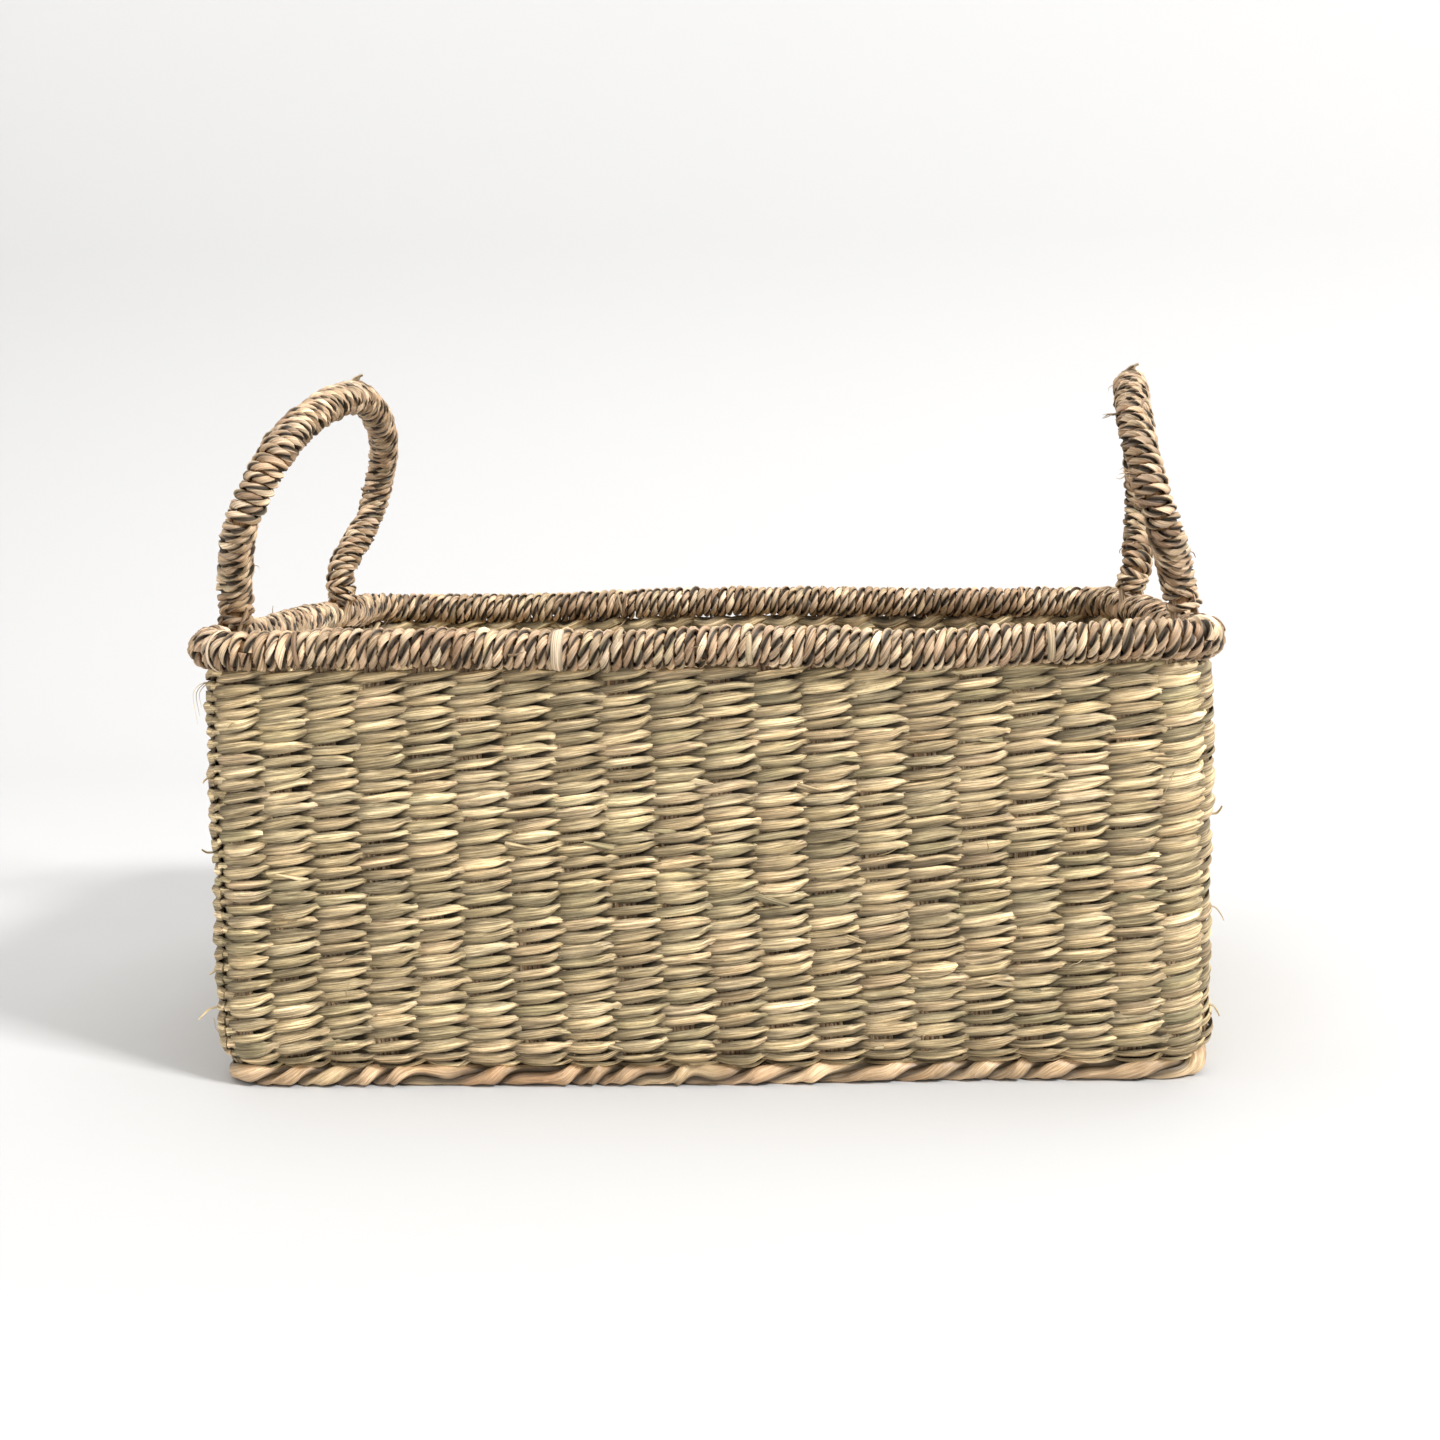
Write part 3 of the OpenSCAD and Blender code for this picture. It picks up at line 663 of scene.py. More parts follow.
def wind(strands, rng, line, s0, s1, R, pitch, ply, ply_off, lay, wander, seed, hand=-1,
         per_turn=26, start=0.0):
    """Winds a two-strand leaf cord round the line from s0 to s1. R: from the line to the cord's
    middle. pitch: from turn to turn. ply, ply_off: radii of a strand and how far it lies from the
    cord's middle. lay: length of one twist of the two strands."""
    sides = 8
    turns = max(int(round((s1 - s0) / pitch)), 1)
    k = np.linspace(0, turns, turns * per_turn + 1)
    nz = Noise(seed * 10 + 900)
    s = s0 + (s1 - s0) * k / turns
    swing = wander * (nz(k * 0.9, 1.0) + 0.8 * nz(k * 2.3, 7.0))
    s = np.clip(s + swing, s0, s1)
    alpha = start + hand * 2 * np.pi * k
    Rk = R + 0.28 * nz(k * 0.8 + 3, 11.0) + 0.16 * nz(k * 3.1, 13.0)
    P0, N0, U0 = line.at(s)
    out = np.cos(alpha)[:, None] * N0 + np.sin(alpha)[:, None] * U0
    C = P0 + out * Rk[:, None]
    T = unit(np.gradient(C, axis=0))
    e1 = square(out, T)
    e2 = np.cross(T, e1)
    L = lengths(C)
    beta = 2 * np.pi * (L / lay + 0.34 * nz(L / 24, 17.0)) * (-hand)
    for p in (0, 1):
        b = beta + np.pi * p
        cb, sb = np.cos(b)[:, None], np.sin(b)[:, None]
        d1 = cb * e1 + sb * e2
        d2 = -sb * e1 + cb * e2
        size = 1 + 0.12 * nz(L / 23 + 50 * p, 19.0) + 0.08 * nz(L / 6 + 90 * p, 23.0)
        flat = 1 + 0.18 * nz(L / 15 + 31 * p, 29.0)
        Q = C + d1 * (ply_off * size)[:, None]
        ra, rb = (ply[0] * size / flat)[None], (ply[1] * size * flat)[None]
        sec = round_section(ra, rb, sides, phase=0.5)
        # the leaf is folded, so its outline has a step in it
        fold = 1 + 0.16 * np.sin(np.arange(sides) * 2.4 + 1.3 * p)
        sec = turned(sec * fold[:, None], (0.5 * nz(L / 27 + 70 * p, 37.0))[None])
        c = strand_tints(rng, 1, turns * 3 + 2, run=(2, 7), spread=0.16, palette=CORD_TINT,
                         weights=CORD_W, mix=0.3)[0]
        i = np.clip((k * 3).astype(int), 0, len(c) - 1)
        j = np.clip(i + 1, 0, len(c) - 1)
        u = smooth(k * 3 - i)[:, None]
        tint = c[i] * (1 - u) + c[j] * u
        # painted shade beside the other strand, where the two press together, and painted highlight on the
        # leaf's outer side
        inward = -np.cos((np.arange(sides) + 0.5) * 2 * np.pi / sides)
        edge = 1.16 - 1.04 * np.clip(inward + 0.6, 0, 1)
        strands.one(Q, d1, d2, sec, tint, L, rng, edge=edge)


def ring_noise(noise, turn, size, x, y):
    """Noise along a closed line, so that its end meets its beginning. turn: 0 to 2 pi along it."""
    return noise(x + size * np.cos(turn), y + size * np.sin(turn))


def rim_points(n=1500):
    """The hoop's middle line with its waves, and its length without them."""
    total = 4 * (SX + SY) + 2 * np.pi * RIM_CORNER
    s = np.linspace(0, total, n)
    px, py, nx, ny, _ = plan_len(s, np.full_like(s, CORNER - RIM_CORNER))
    # handmade waves, still where the handles hang
    still = np.ones_like(s)
    for sx, fy in FOOT_GAPS:
        still *= 1 - np.exp(-((px - sx * RIM_X) / 30) ** 2 - ((py - fy) / 16) ** 2)
    a, b = Noise(61), Noise(62)

    def ring(size, noise, at):
        return ring_noise(noise, 2 * np.pi * s / total, size, at, 3 * at)

    dz = 0.7 * ring(5.0, a, 20.3) + 0.45 * ring(14.0, b, 40.7)
    front = np.exp(-((py + RIM_Y) / 10) ** 2)
    dz += front * (-2.0 * np.exp(-((px - 92) / 36) ** 2) + 0.9 * np.exp(-((px - 165) / 22) ** 2)
                   - 0.7 * np.exp(-((px + 40) / 50) ** 2))
    back = np.exp(-((py - RIM_Y) / 10) ** 2)
    dz += back * (0.8 * np.cos(px / 46) - 0.4)
    dn = 0.8 * ring(6.0, b, 60.1) + 0.3 * ring(17.0, a, 80.9)
    P = np.stack([px + nx * dn * still, py + ny * dn * still, RIM_Z + dz * still], -1)
    P[-1] = P[0]
    N = np.stack([nx, ny, 0 * nx], -1)
    return Line(P, N, closed=True), total


RIM, RIM_LEN = rim_points()
GAP = 6.85      # half the opening of the winding at a handle's foot


def rim():
    """The hoop's cane and its winding, in four runs that are parted at the handles' feet."""
    st = Strands()
    s = np.linspace(0, RIM.length, 701)[:-1]
    P, N, U = RIM.at(s)
    nz = Noise(71)
    th = 2 * np.pi * np.arange(12) / 12
    r = 3.9 * (1 + 0.012 * nz(s[:, None] / 9, 5 * np.cos(th)[None] + 9))
    sec = np.stack([r * np.cos(th), r * np.sin(th)], -1)[None]
    tint = np.broadcast_to(CANE_TINT, (1, len(s), 3)) * (1 + 0.12 * nz(s / 40, 3.0))[None, :, None]
    st.add(P[None], N[None], U[None], sec, tint, s[None], closed=True)
    st.build("rim_hoop_cane", cane_mat, "core_cane", "basket", ["rim_hoop"], sharp=0)
    # lengths along the rim where each winding begins and ends
    scale = RIM.length / RIM_LEN
    x0, y0, arc = 2 * SX, 2 * SY, RIM_CORNER * np.pi / 2
    c1, c2 = x0 + arc / 2, x0 + arc * 1.5 + y0
    c3, c4 = 2 * x0 + arc * 2.5 + y0, 2 * x0 + arc * 3.5 + 2 * y0
    right0 = x0 + arc + SY
    left0 = 2 * x0 + 3 * arc + y0 + SY

    def parted(first, last, *feet):
        ends = [first] + [f + side for f in feet for side in (-GAP, GAP)] + [last]
        return list(zip(ends[::2], ends[1::2]))

    runs = {"front": parted(-arc / 2, c1), "right": parted(c1, c2, right0 - 72, right0 + 50),
            "back": parted(c2, c3), "left": parted(c3, c4, left0 - 58, left0 + 88)}
    for i, (name, parts) in enumerate(runs.items()):
        st = Strands()
        rng = np.random.default_rng(80 + i)
        for j, (a, b) in enumerate(parts):
            pieces = [(a, b)] if a >= 0 else [(a + RIM_LEN, RIM_LEN), (0.0, b)]
            for p, (u, v) in enumerate(pieces):
                first, last = parts[0][0], parts[-1][1]
                lead = 0.5 if u in (first, 0.0, first + RIM_LEN) else 1.5
                tail = 0.5 if v in (last, RIM_LEN) else 1.5
                wind(st, rng, RIM, u * scale + lead, v * scale - tail, R=5.95, pitch=3.95,
                     ply=(1.05, 1.5), ply_off=0.92, lay=15.5, wander=0.3, seed=i * 7 + j * 3 + p,
                     start=0.7 * j)
        st.build(f"rim_winding_{name}", rim_mat, "rim_cord", "basket", ["rim_binding_" + name], sharp=50)


rim()


# ---- handles
def catmull(c, steps):
    """A smooth curve through the points c, with so many steps from point to point."""
    c = np.array(c, float)
    ext = np.vstack([2 * c[0] - c[1], c, 2 * c[-1] - c[-2]])
    out = []
    for i in range(len(c) - 1):
        a, b, d, e = ext[i:i + 4]
        for t in np.arange(steps) / steps:
            out.append((2 * b + (d - a) * t + (2 * a - 5 * b + 4 * d - e) * t ** 2
                        + (3 * b - a - 3 * d + e) * t ** 3) / 2)
    out.append(c[-1])
    return np.array(out)


# The two handles in their own upright plane, half width and height over the rim at each point.
# sx: which end of the basket. mid, half: middle and half distance of the feet. lean: degrees inwards.
# twist, early: how far and how soon one leg leans more than the other. sag, shift: the top's offset
# along the basket's end and across it. wiggle: waves of the cane.
HANDLES = {
    "left": dict(sx=-1, mid=-15.0, half=73.0, lean=22.3, twist=5.1, early=0.0, sag=1.5, shift=-5.2,
                 shoulder=(95.9, 54.2), corner=(76.8, 88.6), top=107.2, wiggle=0.8),
    "right": dict(sx=1, mid=-11.0, half=61.0, lean=9.0, twist=16.3, early=1.7, sag=1.0, shift=2.4,
                  shoulder=(83.2, 49.6), corner=(62.4, 85.6), top=99.8, wiggle=0.7),
}
NECK = 9.5      # the cane's ends over the rim's middle line


def handle(side, sx, mid, half, lean, twist, early, sag, shift, shoulder, corner, top, wiggle):
    """Cane, winding and feet of one handle. Returns the cane's line."""
    leg = [(half, NECK), (half + 0.6, 21), shoulder, corner]
    q = catmull([(-a, b) for a, b in leg] + [(0, top)] + leg[::-1], 60)
    up = q[:, 1] - NECK
    ease = smooth(up / 40)
    nz = Noise(91 if sx < 0 else 95)
    run = np.arange(len(q)) / 60.0
    bent = up / 100 * (1 + early * (1 - up / 100))
    waves = wiggle * ease
    x = sx * twist * (q[:, 0] / 98) * bent + waves * nz(run * 1.6, 3.0) + shift * smooth((up + 1) / 15)
    y = q[:, 0] + sag * up / 100 + waves * nz(run * 1.9, 9.0)
    h = q[:, 1] + 0.6 * ease * nz(run * 1.7, 15.0)
    ang = -sx * math.radians(lean)
    P = np.stack([x * math.cos(ang) + h * math.sin(ang) + sx * RIM_X, y + mid,
                  -x * math.sin(ang) + h * math.cos(ang) + RIM_Z], -1)
    line = Line(P, np.broadcast_to((float(sx), 0, 0.25), P.shape))
    body = "handle_" + side
    st = Strands()
    s = np.linspace(0, line.length, 220)
    C, N, U = line.at(s)
    a = np.full((1, len(s)), 3.3)
    sec = round_section(a, a, 10)
    tint = np.broadcast_to(CANE_TINT, (1, len(s), 3))
    st.add(C[None], N[None], U[None], sec, tint, s[None])
    st.build(f"{side}_handle_cane", cane_mat, "core_cane", body, [body + "_cane"], sharp=60)
    st = Strands()
    rng = np.random.default_rng(96 if sx < 0 else 97)
    bare = 6.4      # the cane's ends stay unwound under the feet
    wind(st, rng, line, bare, line.length - bare, R=5.1, pitch=3.75, ply=(1.05, 1.45), ply_off=0.9,
         lay=14.5, wander=0.26, seed=32 + sx, hand=-sx, per_turn=24)
    st.build(f"{side}_handle_winding", grip_mat, "handle_cord", body, [body + "_binding"], sharp=50)
    for end in (-1, 1):
        foot(side, sx, mid + end * half, lean, line, end, body)
    return line


def foot(side, sx, y, lean, line, end, body):
    """Flat straps round the hoop, drawn together under the handle's cord."""
    st = Strands()
    name = "front" if end < 0 else "back"
    rng = np.random.default_rng(700 + (sx > 0) * 10 + (end > 0))
    ang = -sx * math.radians(lean)
    turn = np.array([[math.cos(ang), 0, math.sin(ang)], [0, 1, 0], [-math.sin(ang), 0, math.cos(ang)]])
    origin = np.array([sx * RIM_X, y, RIM_Z])
    for off in (-4.3, 0.0, 4.3):
        # a teardrop: down from the neck, round under the hoop and up to the neck again
        r = 5.35 + 0.25 * rng.uniform(-1, 1)
        a0 = math.radians(52)
        th = np.linspace(math.pi / 2 - a0, math.pi / 2 - 2 * math.pi + a0, 72)
        loop = np.stack([r * np.cos(th), r * np.sin(th)], -1)
        top_l = np.linspace([3.5, 16.5], loop[0], 14)[:-1]
        top_r = np.linspace(loop[-1], [-3.5, 16.5], 14)[1:]
        xz = np.concatenate([top_l, loop, top_r])
        # even out the corner where the loop meets the neck
        for _ in range(10):
            xz[1:-1] = (xz[:-2] + 2 * xz[1:-1] + xz[2:]) / 4
        h = xz[:, 1]
        close = smooth((h - 3) / 14)
        P = np.stack([xz[:, 0], off * (1 - 0.5 * close), h], -1)
        T = unit(np.gradient(P, axis=0))
        out = P - np.array([0, 0, 1.0]) * np.clip(h, 0, 30)[:, None]
        out[:, 1] = 0
        out = np.where(np.linalg.norm(out, axis=1, keepdims=True) < 1e-6, (1.0, 0, 0), out)
        N = square(out, T)
        B = np.cross(T, N)
        w = (4.5 - 1.2 * close)[None] * (1 + 0.05 * rng.normal())
        sec = leaf_section(w, np.full_like(w, 1.5), np.full_like(w, 0.2 * rng.uniform(-1, 1)))
        s = np.cumsum(np.linalg.norm(np.gradient(P, axis=0), axis=1))
        c = CORD_TINT[rng.integers(3)] * rng.uniform(0.85, 1.1)
        # painted shade at the straps' thin edges, painted highlight on their ridges
        st.one(P @ turn.T + origin, N @ turn.T, B @ turn.T, sec, c, s, rng, spread=500, edge=PAINTED_SECTION_SHADE)
    # turns of cord hold the straps to the cane, down to the loop
    P = line.P if end < 0 else line.P[::-1]
    N = line.N if end < 0 else line.N[::-1]
    P, N = P[:110], N[:110]
    down = (P[0] - P[4]) / np.linalg.norm(P[0] - P[4]) * 1.3
    neck = Line(np.vstack([P[0] + down, P]), np.vstack([N[0], N]))
    wind(st, rng, neck, 0.3, 7.6, R=5.35, pitch=3.6, ply=(0.95, 1.35), ply_off=0.8, lay=14,
         wander=0.15, seed=40 + end + 3 * sx, hand=sx * end, per_turn=24)
    st.build(f"{side}_foot_{name}_straps", strap_mat, "foot_strap", body, [f"{body}_foot_{name}"], sharp=45)


HANDLE_LINES = {side: handle(side, **shape) for side, shape in HANDLES.items()}


# ---- border round the foot
BORDER_R = 18.61        # corner radius of the cord's middle line
FOOT_TINT = 1.08 * np.array([srgb(198, 170, 136), srgb(184, 154, 120), srgb(162, 132, 100),
                             srgb(210, 186, 150)])


def border():
    """Two thick strands laid round each other, one turn of a strand to about 40 mm."""
    st = Strands()
    rng = np.random.default_rng(77)
    total = 4 * (SX + SY) + 2 * np.pi * BORDER_R
    turns = int(round(total / 40.0))
    n, sides = 1500, 12
    s = np.linspace(0, total, n + 1)[:-1]
    px, py, nx, ny, _ = plan_len(s, np.full_like(s, CORNER - BORDER_R))
    nz = Noise(78)

    def ring(size, at):
        return ring_noise(nz, 2 * np.pi * s / total, size, at, at)

    C = np.stack([px + 1.2 * nx, py + 1.2 * ny, np.full_like(s, 4.1)], -1)
    N = np.stack([nx, ny, 0 * nx], -1)
    U = np.broadcast_to((0.0, 0.0, 1.0), C.shape)
    ph = 2 * np.pi * (turns * s / total + 0.3 * ring(9, 15.5) + 0.2 * ring(17, 45.5))
    for p in (0, 1):
        b = ph + np.pi * p
        off = 1.75
        Q = C + N * (off * 1.15 * np.cos(b))[:, None] + U * (off * 0.95 * np.sin(b))[:, None]
        size = (1 + 0.1 * ring(9, 33.3 + 9 * p)) * (0.84 + 0.3 * np.cos(b - 0.5) ** 2)
        d1 = N * np.cos(b)[:, None] + U * np.sin(b)[:, None]
        d2 = -N * np.sin(b)[:, None] + U * np.cos(b)[:, None]
        a = 2 * np.pi * (np.arange(sides) + 0.5) / sides
        fold = 1 + 0.13 * np.sin(3 * a[None] + 2.2 * ring(11, 55.0 + 7 * p)[:, None]) \
            + 0.05 * np.sin(5 * a[None] + 4 * ring(17, 75.0 + 7 * p)[:, None])
        ra = (2.3 * size)[:, None] * fold
        rb = (2.9 * size)[:, None] * fold
        sec = np.stack([ra * np.cos(a), rb * np.sin(a)], -1)[None]
        c = strand_tints(rng, 1, turns * 2, run=(1, 3), spread=0.1, palette=FOOT_TINT,
                         weights=np.array([0.35, 0.3, 0.15, 0.2]), mix=0.3)[0]
        k = s / total * turns * 2
        i = k.astype(int) % len(c)
        j = (i + 1) % len(c)
        u = smooth(np.clip((k - np.floor(k) - 0.5) * 3 + 0.5, 0, 1))[:, None]
        tint = c[i] * (1 - u) + c[j] * u
        # painted shade on the side of each strand that lies against the other, painted highlight on its
        # outer side
        edge = np.broadcast_to(1.12 - 0.96 * np.clip(0.62 - np.cos(a), 0, 1), (1, n, sides))
        st.add(Q[None], d1[None], d2[None], sec, tint[None], (s + 500 * p)[None], sec[..., 1] * 0.6,
               closed=True, edge=edge)

    def warp(co):
        co = body_warp(co)
        co[:, 2] = np.maximum(co[:, 2], 0.02)
        return co

    st.build("foot_border", foot_mat, "foot_cord", "basket", ["foot_braid"], sharp=50, warp=warp)


border()

# ---- loose ends
def curve_strand(strands, rng, pts, w, t, tint, normal, taper=(1.0, 0.15), flat=True, n=14):
    """A short strand through a few points. Its flat side faces the normal."""
    pts = np.array(pts, float)
    P = catmull(pts, max(n // (len(pts) - 1), 2))
    T = unit(np.gradient(P, axis=0))
    N = square(np.broadcast_to(normal, P.shape), T)
    B = np.cross(T, N)
    u = np.linspace(0, 1, len(P))
    k = (taper[0] + (taper[1] - taper[0]) * u ** 2)[None]
    if flat:
        sec = leaf_section(w * k, t * (0.5 + 0.5 * k), np.full_like(k, rng.uniform(-0.4, 0.4)))
        # softened painted shade at the thin edges and painted highlight on the ridge
        edge = 0.45 + 0.55 * PAINTED_SECTION_SHADE
    else:
        sec = round_section(w / 2 * k, w / 2 * k, 5)
        edge = None
    s = np.linspace(0, np.linalg.norm(pts[-1] - pts[0]), len(P))
    strands.one(P, N, B, sec, tint, s, rng, edge=edge)


def stray_end(strands, rng, P, out, T, length, mid, rise, share, w, t, tint):
    """What comes loose from a cord at P: mostly a thin fibre, for a share of them a leaf end. out, T:
    away from the cord's core and along it."""
    L = rng.uniform(*length)
    d = unit(T * rng.normal() + np.cross(T, out) * rng.normal())
    leafy = rng.uniform() < share
    p = [P - out * 0.8, P + out * L * 0.2 + d * L * 0.3, P + out * L * 0.4 + d * L * mid,
         P + out * L * rng.uniform(0.2, rise) + d * L]
    curve_strand(strands, rng, p, w if leafy else 0.4, t, tint(), out, flat=leafy)


def any_tint(rng, palette, low, high):
    return palette[rng.integers(len(palette))] * rng.uniform(low, high)


def wall_frame(q, t, depth=2.2):
    """Point on the wall's face with the axes outwards, up and along the courses."""
    Q, T = np.array([[float(q)]]), np.array([[float(t)]])
    P, N, U = (v[0, 0] for v in wall_point_wavy(Q, T, np.full((1, 1), depth), np.zeros((1, 1))))
    return P, N, U, np.cross(N, U)


def wall_ends():
    """Leaf ends and fibres that stand out of the walls."""
    st = Strands()
    rng = np.random.default_rng(123)

    def straw_tint():
        return any_tint(rng, PALETTE, 0.8, 1.1)

    # cut ends of leaves, lying nearly along the courses
    spots = [(rng.uniform(0, NSTAKE), rng.uniform(14, T_TOP - 8)) for _ in range(30)]
    spots += [(rng.uniform(-1, 18), rng.uniform(14, T_TOP - 8)) for _ in range(9)]
    for q, t in spots:
        P, N, U, A = wall_frame(q, t)
        along = 1 if rng.uniform() < 0.7 else -1
        L = rng.uniform(5, 10)
        tilt, out = rng.uniform(-0.05, 0.3) * along, rng.uniform(0.1, 0.3)
        d = A * along + U * tilt
        p = [P - d * 3 - N * 1.2, P, P + d * L * 0.5 + N * (out * L * 0.4 + 0.3),
             P + d * L + N * out * L]
        curve_strand(st, rng, p, rng.uniform(1.5, 2.8), 0.7, straw_tint() * 0.9, N + 0.2 * U,
                     taper=(1, rng.uniform(0.1, 0.6)))
    # thin fibres
    for _ in range(46):
        q, t = rng.uniform(0, NSTAKE), rng.uniform(6, T_TOP - 3)
        P, N, U, A = wall_frame(q, t)
        L = rng.uniform(5, 14)
        d = unit(A * rng.normal() + U * rng.normal() * 0.7)
        p = [P - N * 1.5, P + N * rng.uniform(0.6, 1.8) + d * L * 0.35,
             P + N * rng.uniform(0.8, 3.5) + d * L * 0.7 + U * rng.uniform(-1, 1),
             P + N * rng.uniform(0.6, 4.0) + d * L + U * rng.uniform(-2, 1)]
        curve_strand(st, rng, p, rng.uniform(0.3, 0.55), 0.3, straw_tint() * 0.8, N, flat=False)
    # the ones that show in outline
    for q, t, du, da, out, w in ((-1.9, 30, -3.5, -1.0, 8, 2.4), (-1.7, 44, -1.0, 0.0, 4, 1.8),
                                 (-1.9, 88, 1.5, 0.0, 4, 1.6), (-1.6, 118, -2.0, 0.5, 4, 1.4),
                                 (18.9, 66, -5.0, 0.0, 6, 0.6), (19.2, 100, 3.0, 0.0, 4, 1.6),
                                 (19.0, 26, -4.0, 0.0, 4, 1.5)):
        P, N, U, A = wall_frame(q, t)
        p = [P - N * 2, P + N * out * 0.4, P + N * out * 0.8 + U * du * 0.5 + A * da,
             P + N * out + U * du + A * da]
        curve_strand(st, rng, p, w, 0.7, straw_tint(), U, taper=(1, 0.5), flat=w > 1)
    P, N, U, A = wall_frame(-1.4, T_TOP - 4)
    for k in range(3):
        p = [P - N * 1.5, P + N * (2 + k) + U * 1.5, P + N * (5.5 + 1.3 * k) - U * 2,
             P + N * (5 + k) - U * (8 + 3 * k)]
        curve_strand(st, rng, p, 0.45, 0.3, straw_tint() * 0.8, A, flat=False, n=20)
    st.build("loose_leaf_ends", weft_mat, "weft", "basket", warp=body_warp)
    return rng


def rim_ends(rng):
    """Leaves wrapped over the rim, tucked ends and thin fibres. Goes on with the walls' generator."""
    st = Strands()

    def cord_tint():
        return any_tint(rng, CORD_TINT, 0.85, 1.05)

    def over(s, a0, a1, R, w, tint, shift=0.0, t=0.8):
        k = np.linspace(0, 1, 26)
        a = np.radians(a0 + (a1 - a0) * k)
        P0, N0, U0 = RIM.at(s + shift * k)
        out = np.cos(a)[:, None] * N0 + np.sin(a)[:, None] * U0
        r = R - 1.2 * (1 - smooth(np.minimum(k, 1 - k) * 6))
        P = P0 + out * r[:, None]
        T = unit(np.gradient(P, axis=0))
        N = square(out, T)
        B = np.cross(T, N)
        ww = w * (0.6 + 0.4 * smooth(np.minimum(k, 1 - k) * 4))[None]
        sec = leaf_section(ww, np.full_like(ww, t), np.full_like(ww, 0.25))
        # painted shade at the leaf's thin edges and painted highlight on its ridge
        st.one(P, N, B, sec, tint, k * 20, rng, spread=500, edge=0.3 + 0.7 * PAINTED_SECTION_SHADE)

    def near_foot(s):
        x, y = RIM.at(np.array([s]))[0][0][:2]
        return any(sx * x > RIM_X - 8 and abs(y - fy) < 17 for sx, fy in FOOT_GAPS)

    def s_front(x):
        return (x + SX) * RIM.length / RIM_LEN

    over(s_front(-50), 95, -95, 8.0, 4.4, CORD_TINT.max(0), 1.0)
    for x in (-148, 22, 131):
        over(s_front(x), rng.uniform(60, 110), rng.uniform(-100, -50), 7.8, rng.uniform(1.8, 2.8),
             cord_tint(), rng.uniform(-2, 3))
    for k in range(18):
        s0 = rng.uniform(0, RIM.length)
        if near_foot(s0):
            continue
        over(s0, rng.uniform(-60, 160), rng.uniform(-150, -60), 7.75, rng.uniform(1.4, 2.4), cord_tint(),
             rng.uniform(-2, 3))
    for k in range(46):
        s0, a = rng.uniform(0, RIM.length), rng.uniform(-0.6, 2.4)
        if near_foot(s0):
            continue
        P0, N0, U0 = (v[0] for v in RIM.at(np.array([s0])))
        out = math.cos(a) * N0 + math.sin(a) * U0
        stray_end(st, rng, P0 + out * 7.6, out, np.cross(N0, U0), length=(3, 9), mid=0.65, rise=0.55,
                  share=0.35, w=1.3, t=0.45, tint=lambda: cord_tint() * 0.9)
    # a forked leaf end at the middle of the back rim
    s_back = (2 * SX + RIM_CORNER * math.pi + 2 * SY + (SX + 58)) * RIM.length / RIM_LEN
    P0, N0, U0 = (v[0] for v in RIM.at(np.array([s_back])))
    P = P0 - N0 * 6.8 + U0 * 4
    for dx in (-2.4, 2.0):
        side = np.array([dx, 0, 0])
        p = [P + U0 * 1.5, P - N0 * 1.5 - U0 * 2 + side * 0.3, P - N0 * 1.9 - U0 * 6 + side * 0.7,
             P - N0 * 1.6 - U0 * 10 + side]
        curve_strand(st, rng, p, 1.7, 0.6, cord_tint(), -N0, taper=(1, 0.5))
    st.build("rim_leaf_ends", rim_mat, "rim_cord", "basket")


def handle_ends(side, line):
    """A knot on top of the handle and loose ends along it."""
    st = Strands()
    sx = HANDLES[side]["sx"]
    rng = np.random.default_rng(600 + sx)

    def tint():
        return any_tint(rng, CORD_TINT, 0.75, 0.95)

    def at(f, a):
        P0, N0, U0 = (v[0] for v in line.at(np.array([line.length * f])))
        out = math.cos(a) * N0 + math.sin(a) * U0
        return P0, out, np.cross(N0, U0)

    # the cord's two ends lie knotted on top
    k = int(np.argmax(line.P[:, 2]))
    f = line.s[k] / line.length - (0.012 if sx < 0 else 0.0)
    P0, _, T0 = at(f, 0)
    up = np.array([0, 0, 1.0])
    across = unit(np.cross(T0, up))
    for w, o in ((2.2, -1.0), (2.0, 1.0)):
        p = [P0 + up * 5.0 + across * (o - 3), P0 + up * 7.3 + across * o,
             P0 + up * (8.6 + 0.4 * o) + across * (o + 1.0), P0 + up * (9.2 + 0.3 * o) + across * (o + 2.4)]
        curve_strand(st, rng, p, w, 1.2, tint(), up, taper=(1, 0.6))
    for _ in range(16):
        P0, out, T0 = at(rng.uniform(0.06, 0.94), rng.uniform(0, 2 * math.pi))
        stray_end(st, rng, P0 + out * 6.3, out, T0, length=(2.5, 6), mid=0.6, rise=0.5, share=0.4,
                  w=1.2, t=0.4, tint=tint)
    if sx > 0:
        # frayed ends that stick out on the inner side of the front leg
        for f in (0.2, 0.3):
            P0, _, T0 = at(f, 0)
            out = np.array([-1.0, -0.25, 0.1])
            for k in range(4):
                L = rng.uniform(4, 7.5)
                d = unit(out + rng.normal(0, 0.3, 3))
                P = P0 + unit(out) * 5.6
                p = [P, P + d * L * 0.4, P + d * L * 0.7 + (0, 0, rng.uniform(-1, 0.6)),
                     P + d * L + (0, 0, rng.uniform(-2, 0.6))]
                curve_strand(st, rng, p, 0.6, 0.3, tint() * 0.8, T0, flat=False)
    st.build(f"{side}_handle_ends", grip_mat, "handle_cord", "handle_" + side)


rim_ends(wall_ends())
for side_name, side_line in HANDLE_LINES.items():
    handle_ends(side_name, side_line)

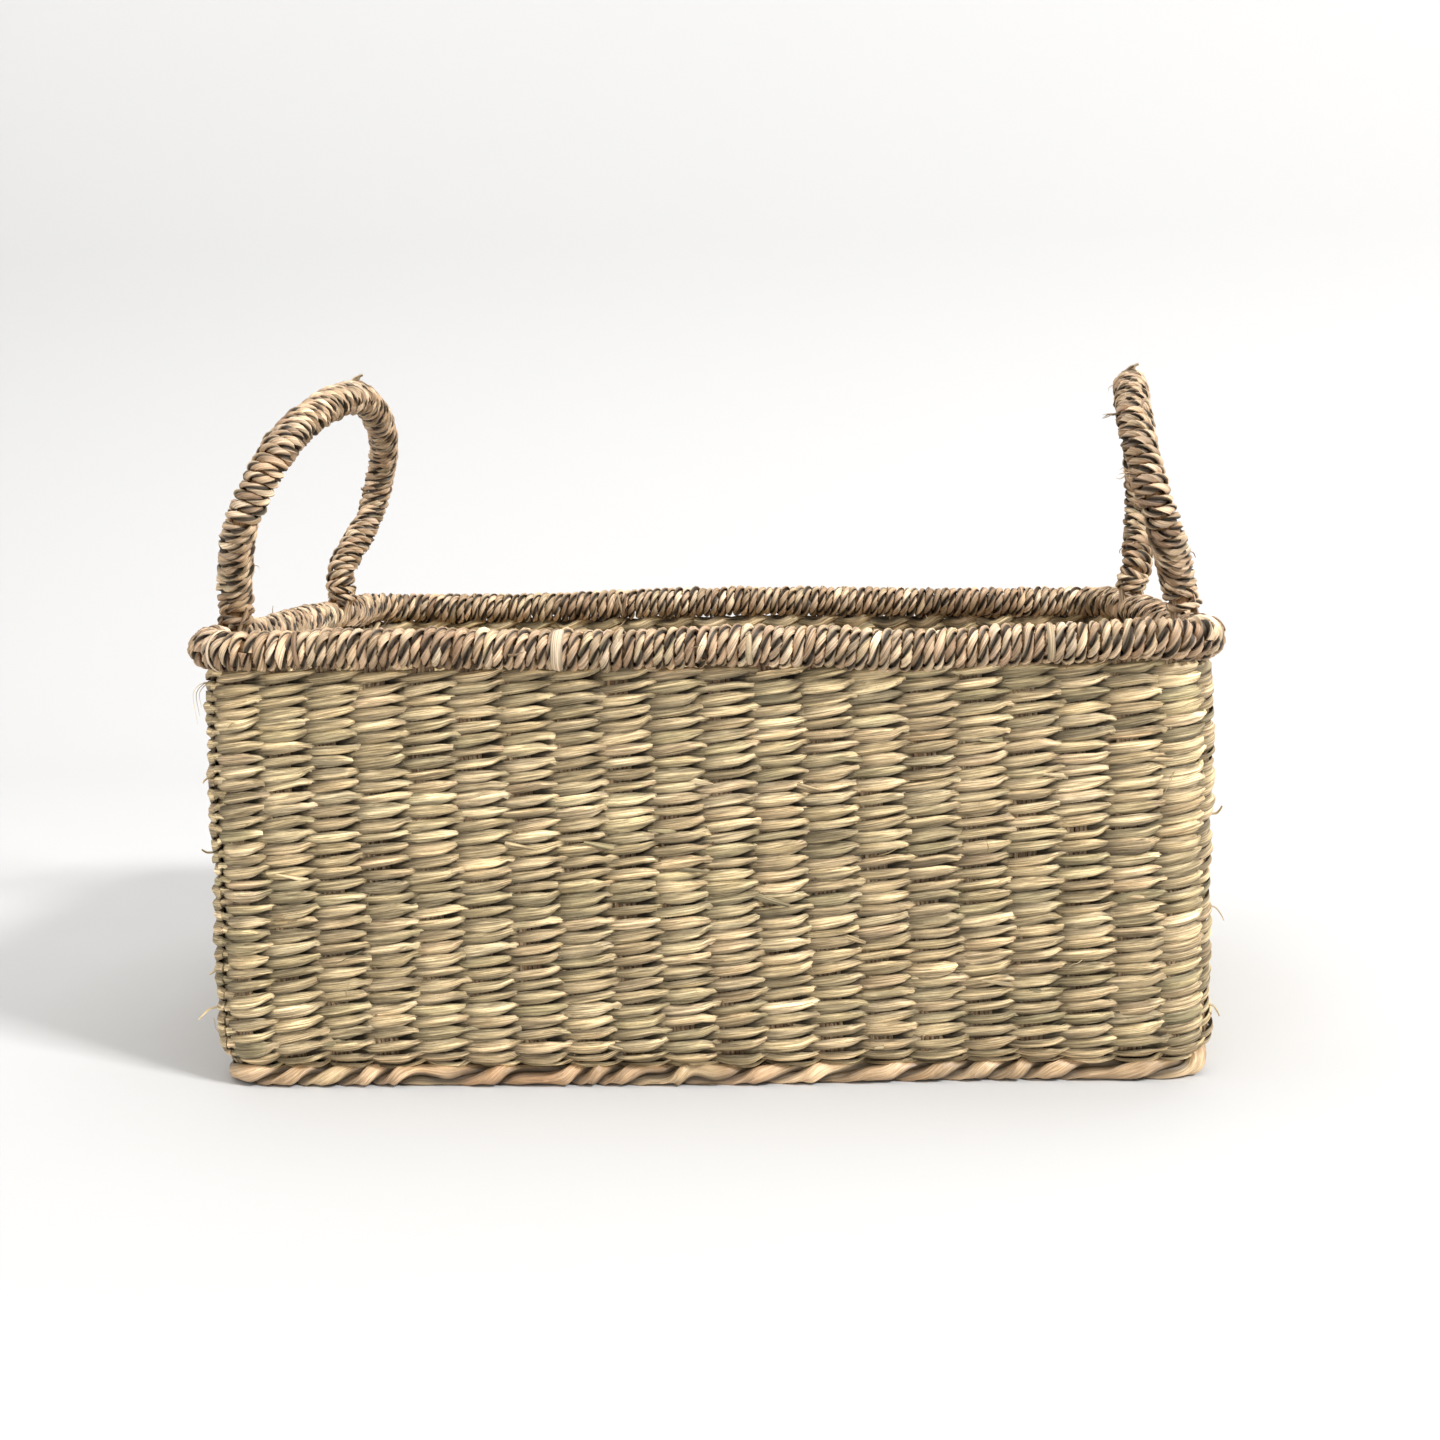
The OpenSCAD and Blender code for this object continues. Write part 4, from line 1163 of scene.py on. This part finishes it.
# ---- camera, floor and light
def look():
    """The camera that took the photo, solved from the rim, the foot and the handles."""
    yaw, pitch, roll = -0.0725, 0.1319, -0.0155        # radians
    place = Vector((54.4, -742.6, 222.0)) * MM
    lens = 41.56
    fwd = Vector((math.sin(yaw) * math.cos(pitch), math.cos(yaw) * math.cos(pitch), -math.sin(pitch)))
    right = Vector((math.cos(yaw), -math.sin(yaw), 0))
    up = right.cross(fwd)
    rolled_right = math.cos(roll) * right + math.sin(roll) * up
    rolled_up = -math.sin(roll) * right + math.cos(roll) * up
    cam = placed("camera", bpy.data.cameras.new("camera"))
    m = Matrix((rolled_right, rolled_up, -fwd)).transposed().to_4x4()
    m.translation = place
    cam.matrix_world = m
    cam.data.sensor_width = 36
    cam.data.lens = lens
    cam.data.clip_start = 0.01
    bpy.context.scene.camera = cam


look()


def stage():
    """A white floor that curves up into a back wall."""
    m = bpy.data.materials.new("plain_floor")
    m.use_nodes = True
    b = m.node_tree.nodes["Principled BSDF"]
    b.inputs["Base Color"].default_value = (0.59, 0.59, 0.59, 1)
    b.inputs["Roughness"].default_value = 0.9
    b.inputs["Specular IOR Level"].default_value = 0.1
    pts = [(-9.0, 0.0)]
    wall_y, r = 1.1, 0.5
    for i in range(17):
        a = math.pi / 2 * i / 16
        pts.append((wall_y - r + r * math.sin(a), r - r * math.cos(a)))
    pts.append((wall_y, 3.2))
    verts, faces = [], []
    for i, (y, z) in enumerate(pts):
        verts += [(-9, y, z), (9, y, z)]
        if i:
            faces.append((2 * i - 2, 2 * i - 1, 2 * i + 1, 2 * i))
    mesh = bpy.data.meshes.new("floor")
    mesh.from_pydata(verts, [], faces)
    for p in mesh.polygons:
        p.use_smooth = True
    mesh.materials.append(m)
    placed("floor", mesh)


stage()


def area(name, at, to, size, watts, colour=(1, 1, 1)):
    """A rectangular lamp at one point that shines towards another."""
    d = bpy.data.lights.new(name, "AREA")
    d.shape = "RECTANGLE"
    d.size, d.size_y = size
    d.energy = watts
    d.color = colour
    o = placed(name, d)
    o.location = at
    o.rotation_euler = (Vector(to) - Vector(at)).to_track_quat("-Z", "Y").to_euler()


area("key", (2.3, -1.3, 2.25), (0, 0, 0.08), size=(0.6, 0.6), watts=122, colour=(1, 0.995, 0.99))
area("wash", (-1.2, 0.0, 1.5), (-0.5, 1.1, 0.4), size=(1.0, 1.0), watts=7.5, colour=(1, 0.98, 0.95))
area("fill", (-0.9, -2.0, 1.3), (0, 0.2, 0.1), size=(1.4, 1.2), watts=12, colour=(0.98, 0.99, 1))
area("top", (0.0, 0.2, 2.4), (0, 0.2, 0), size=(2.0, 2.0), watts=26)
world = bpy.data.worlds.new("studio")
world.use_nodes = True
world.node_tree.nodes["Background"].inputs[0].default_value = (1, 0.985, 0.96, 1)
world.node_tree.nodes["Background"].inputs[1].default_value = 0.43
bpy.context.scene.world = world
bpy.context.scene.view_settings.view_transform = "Standard"
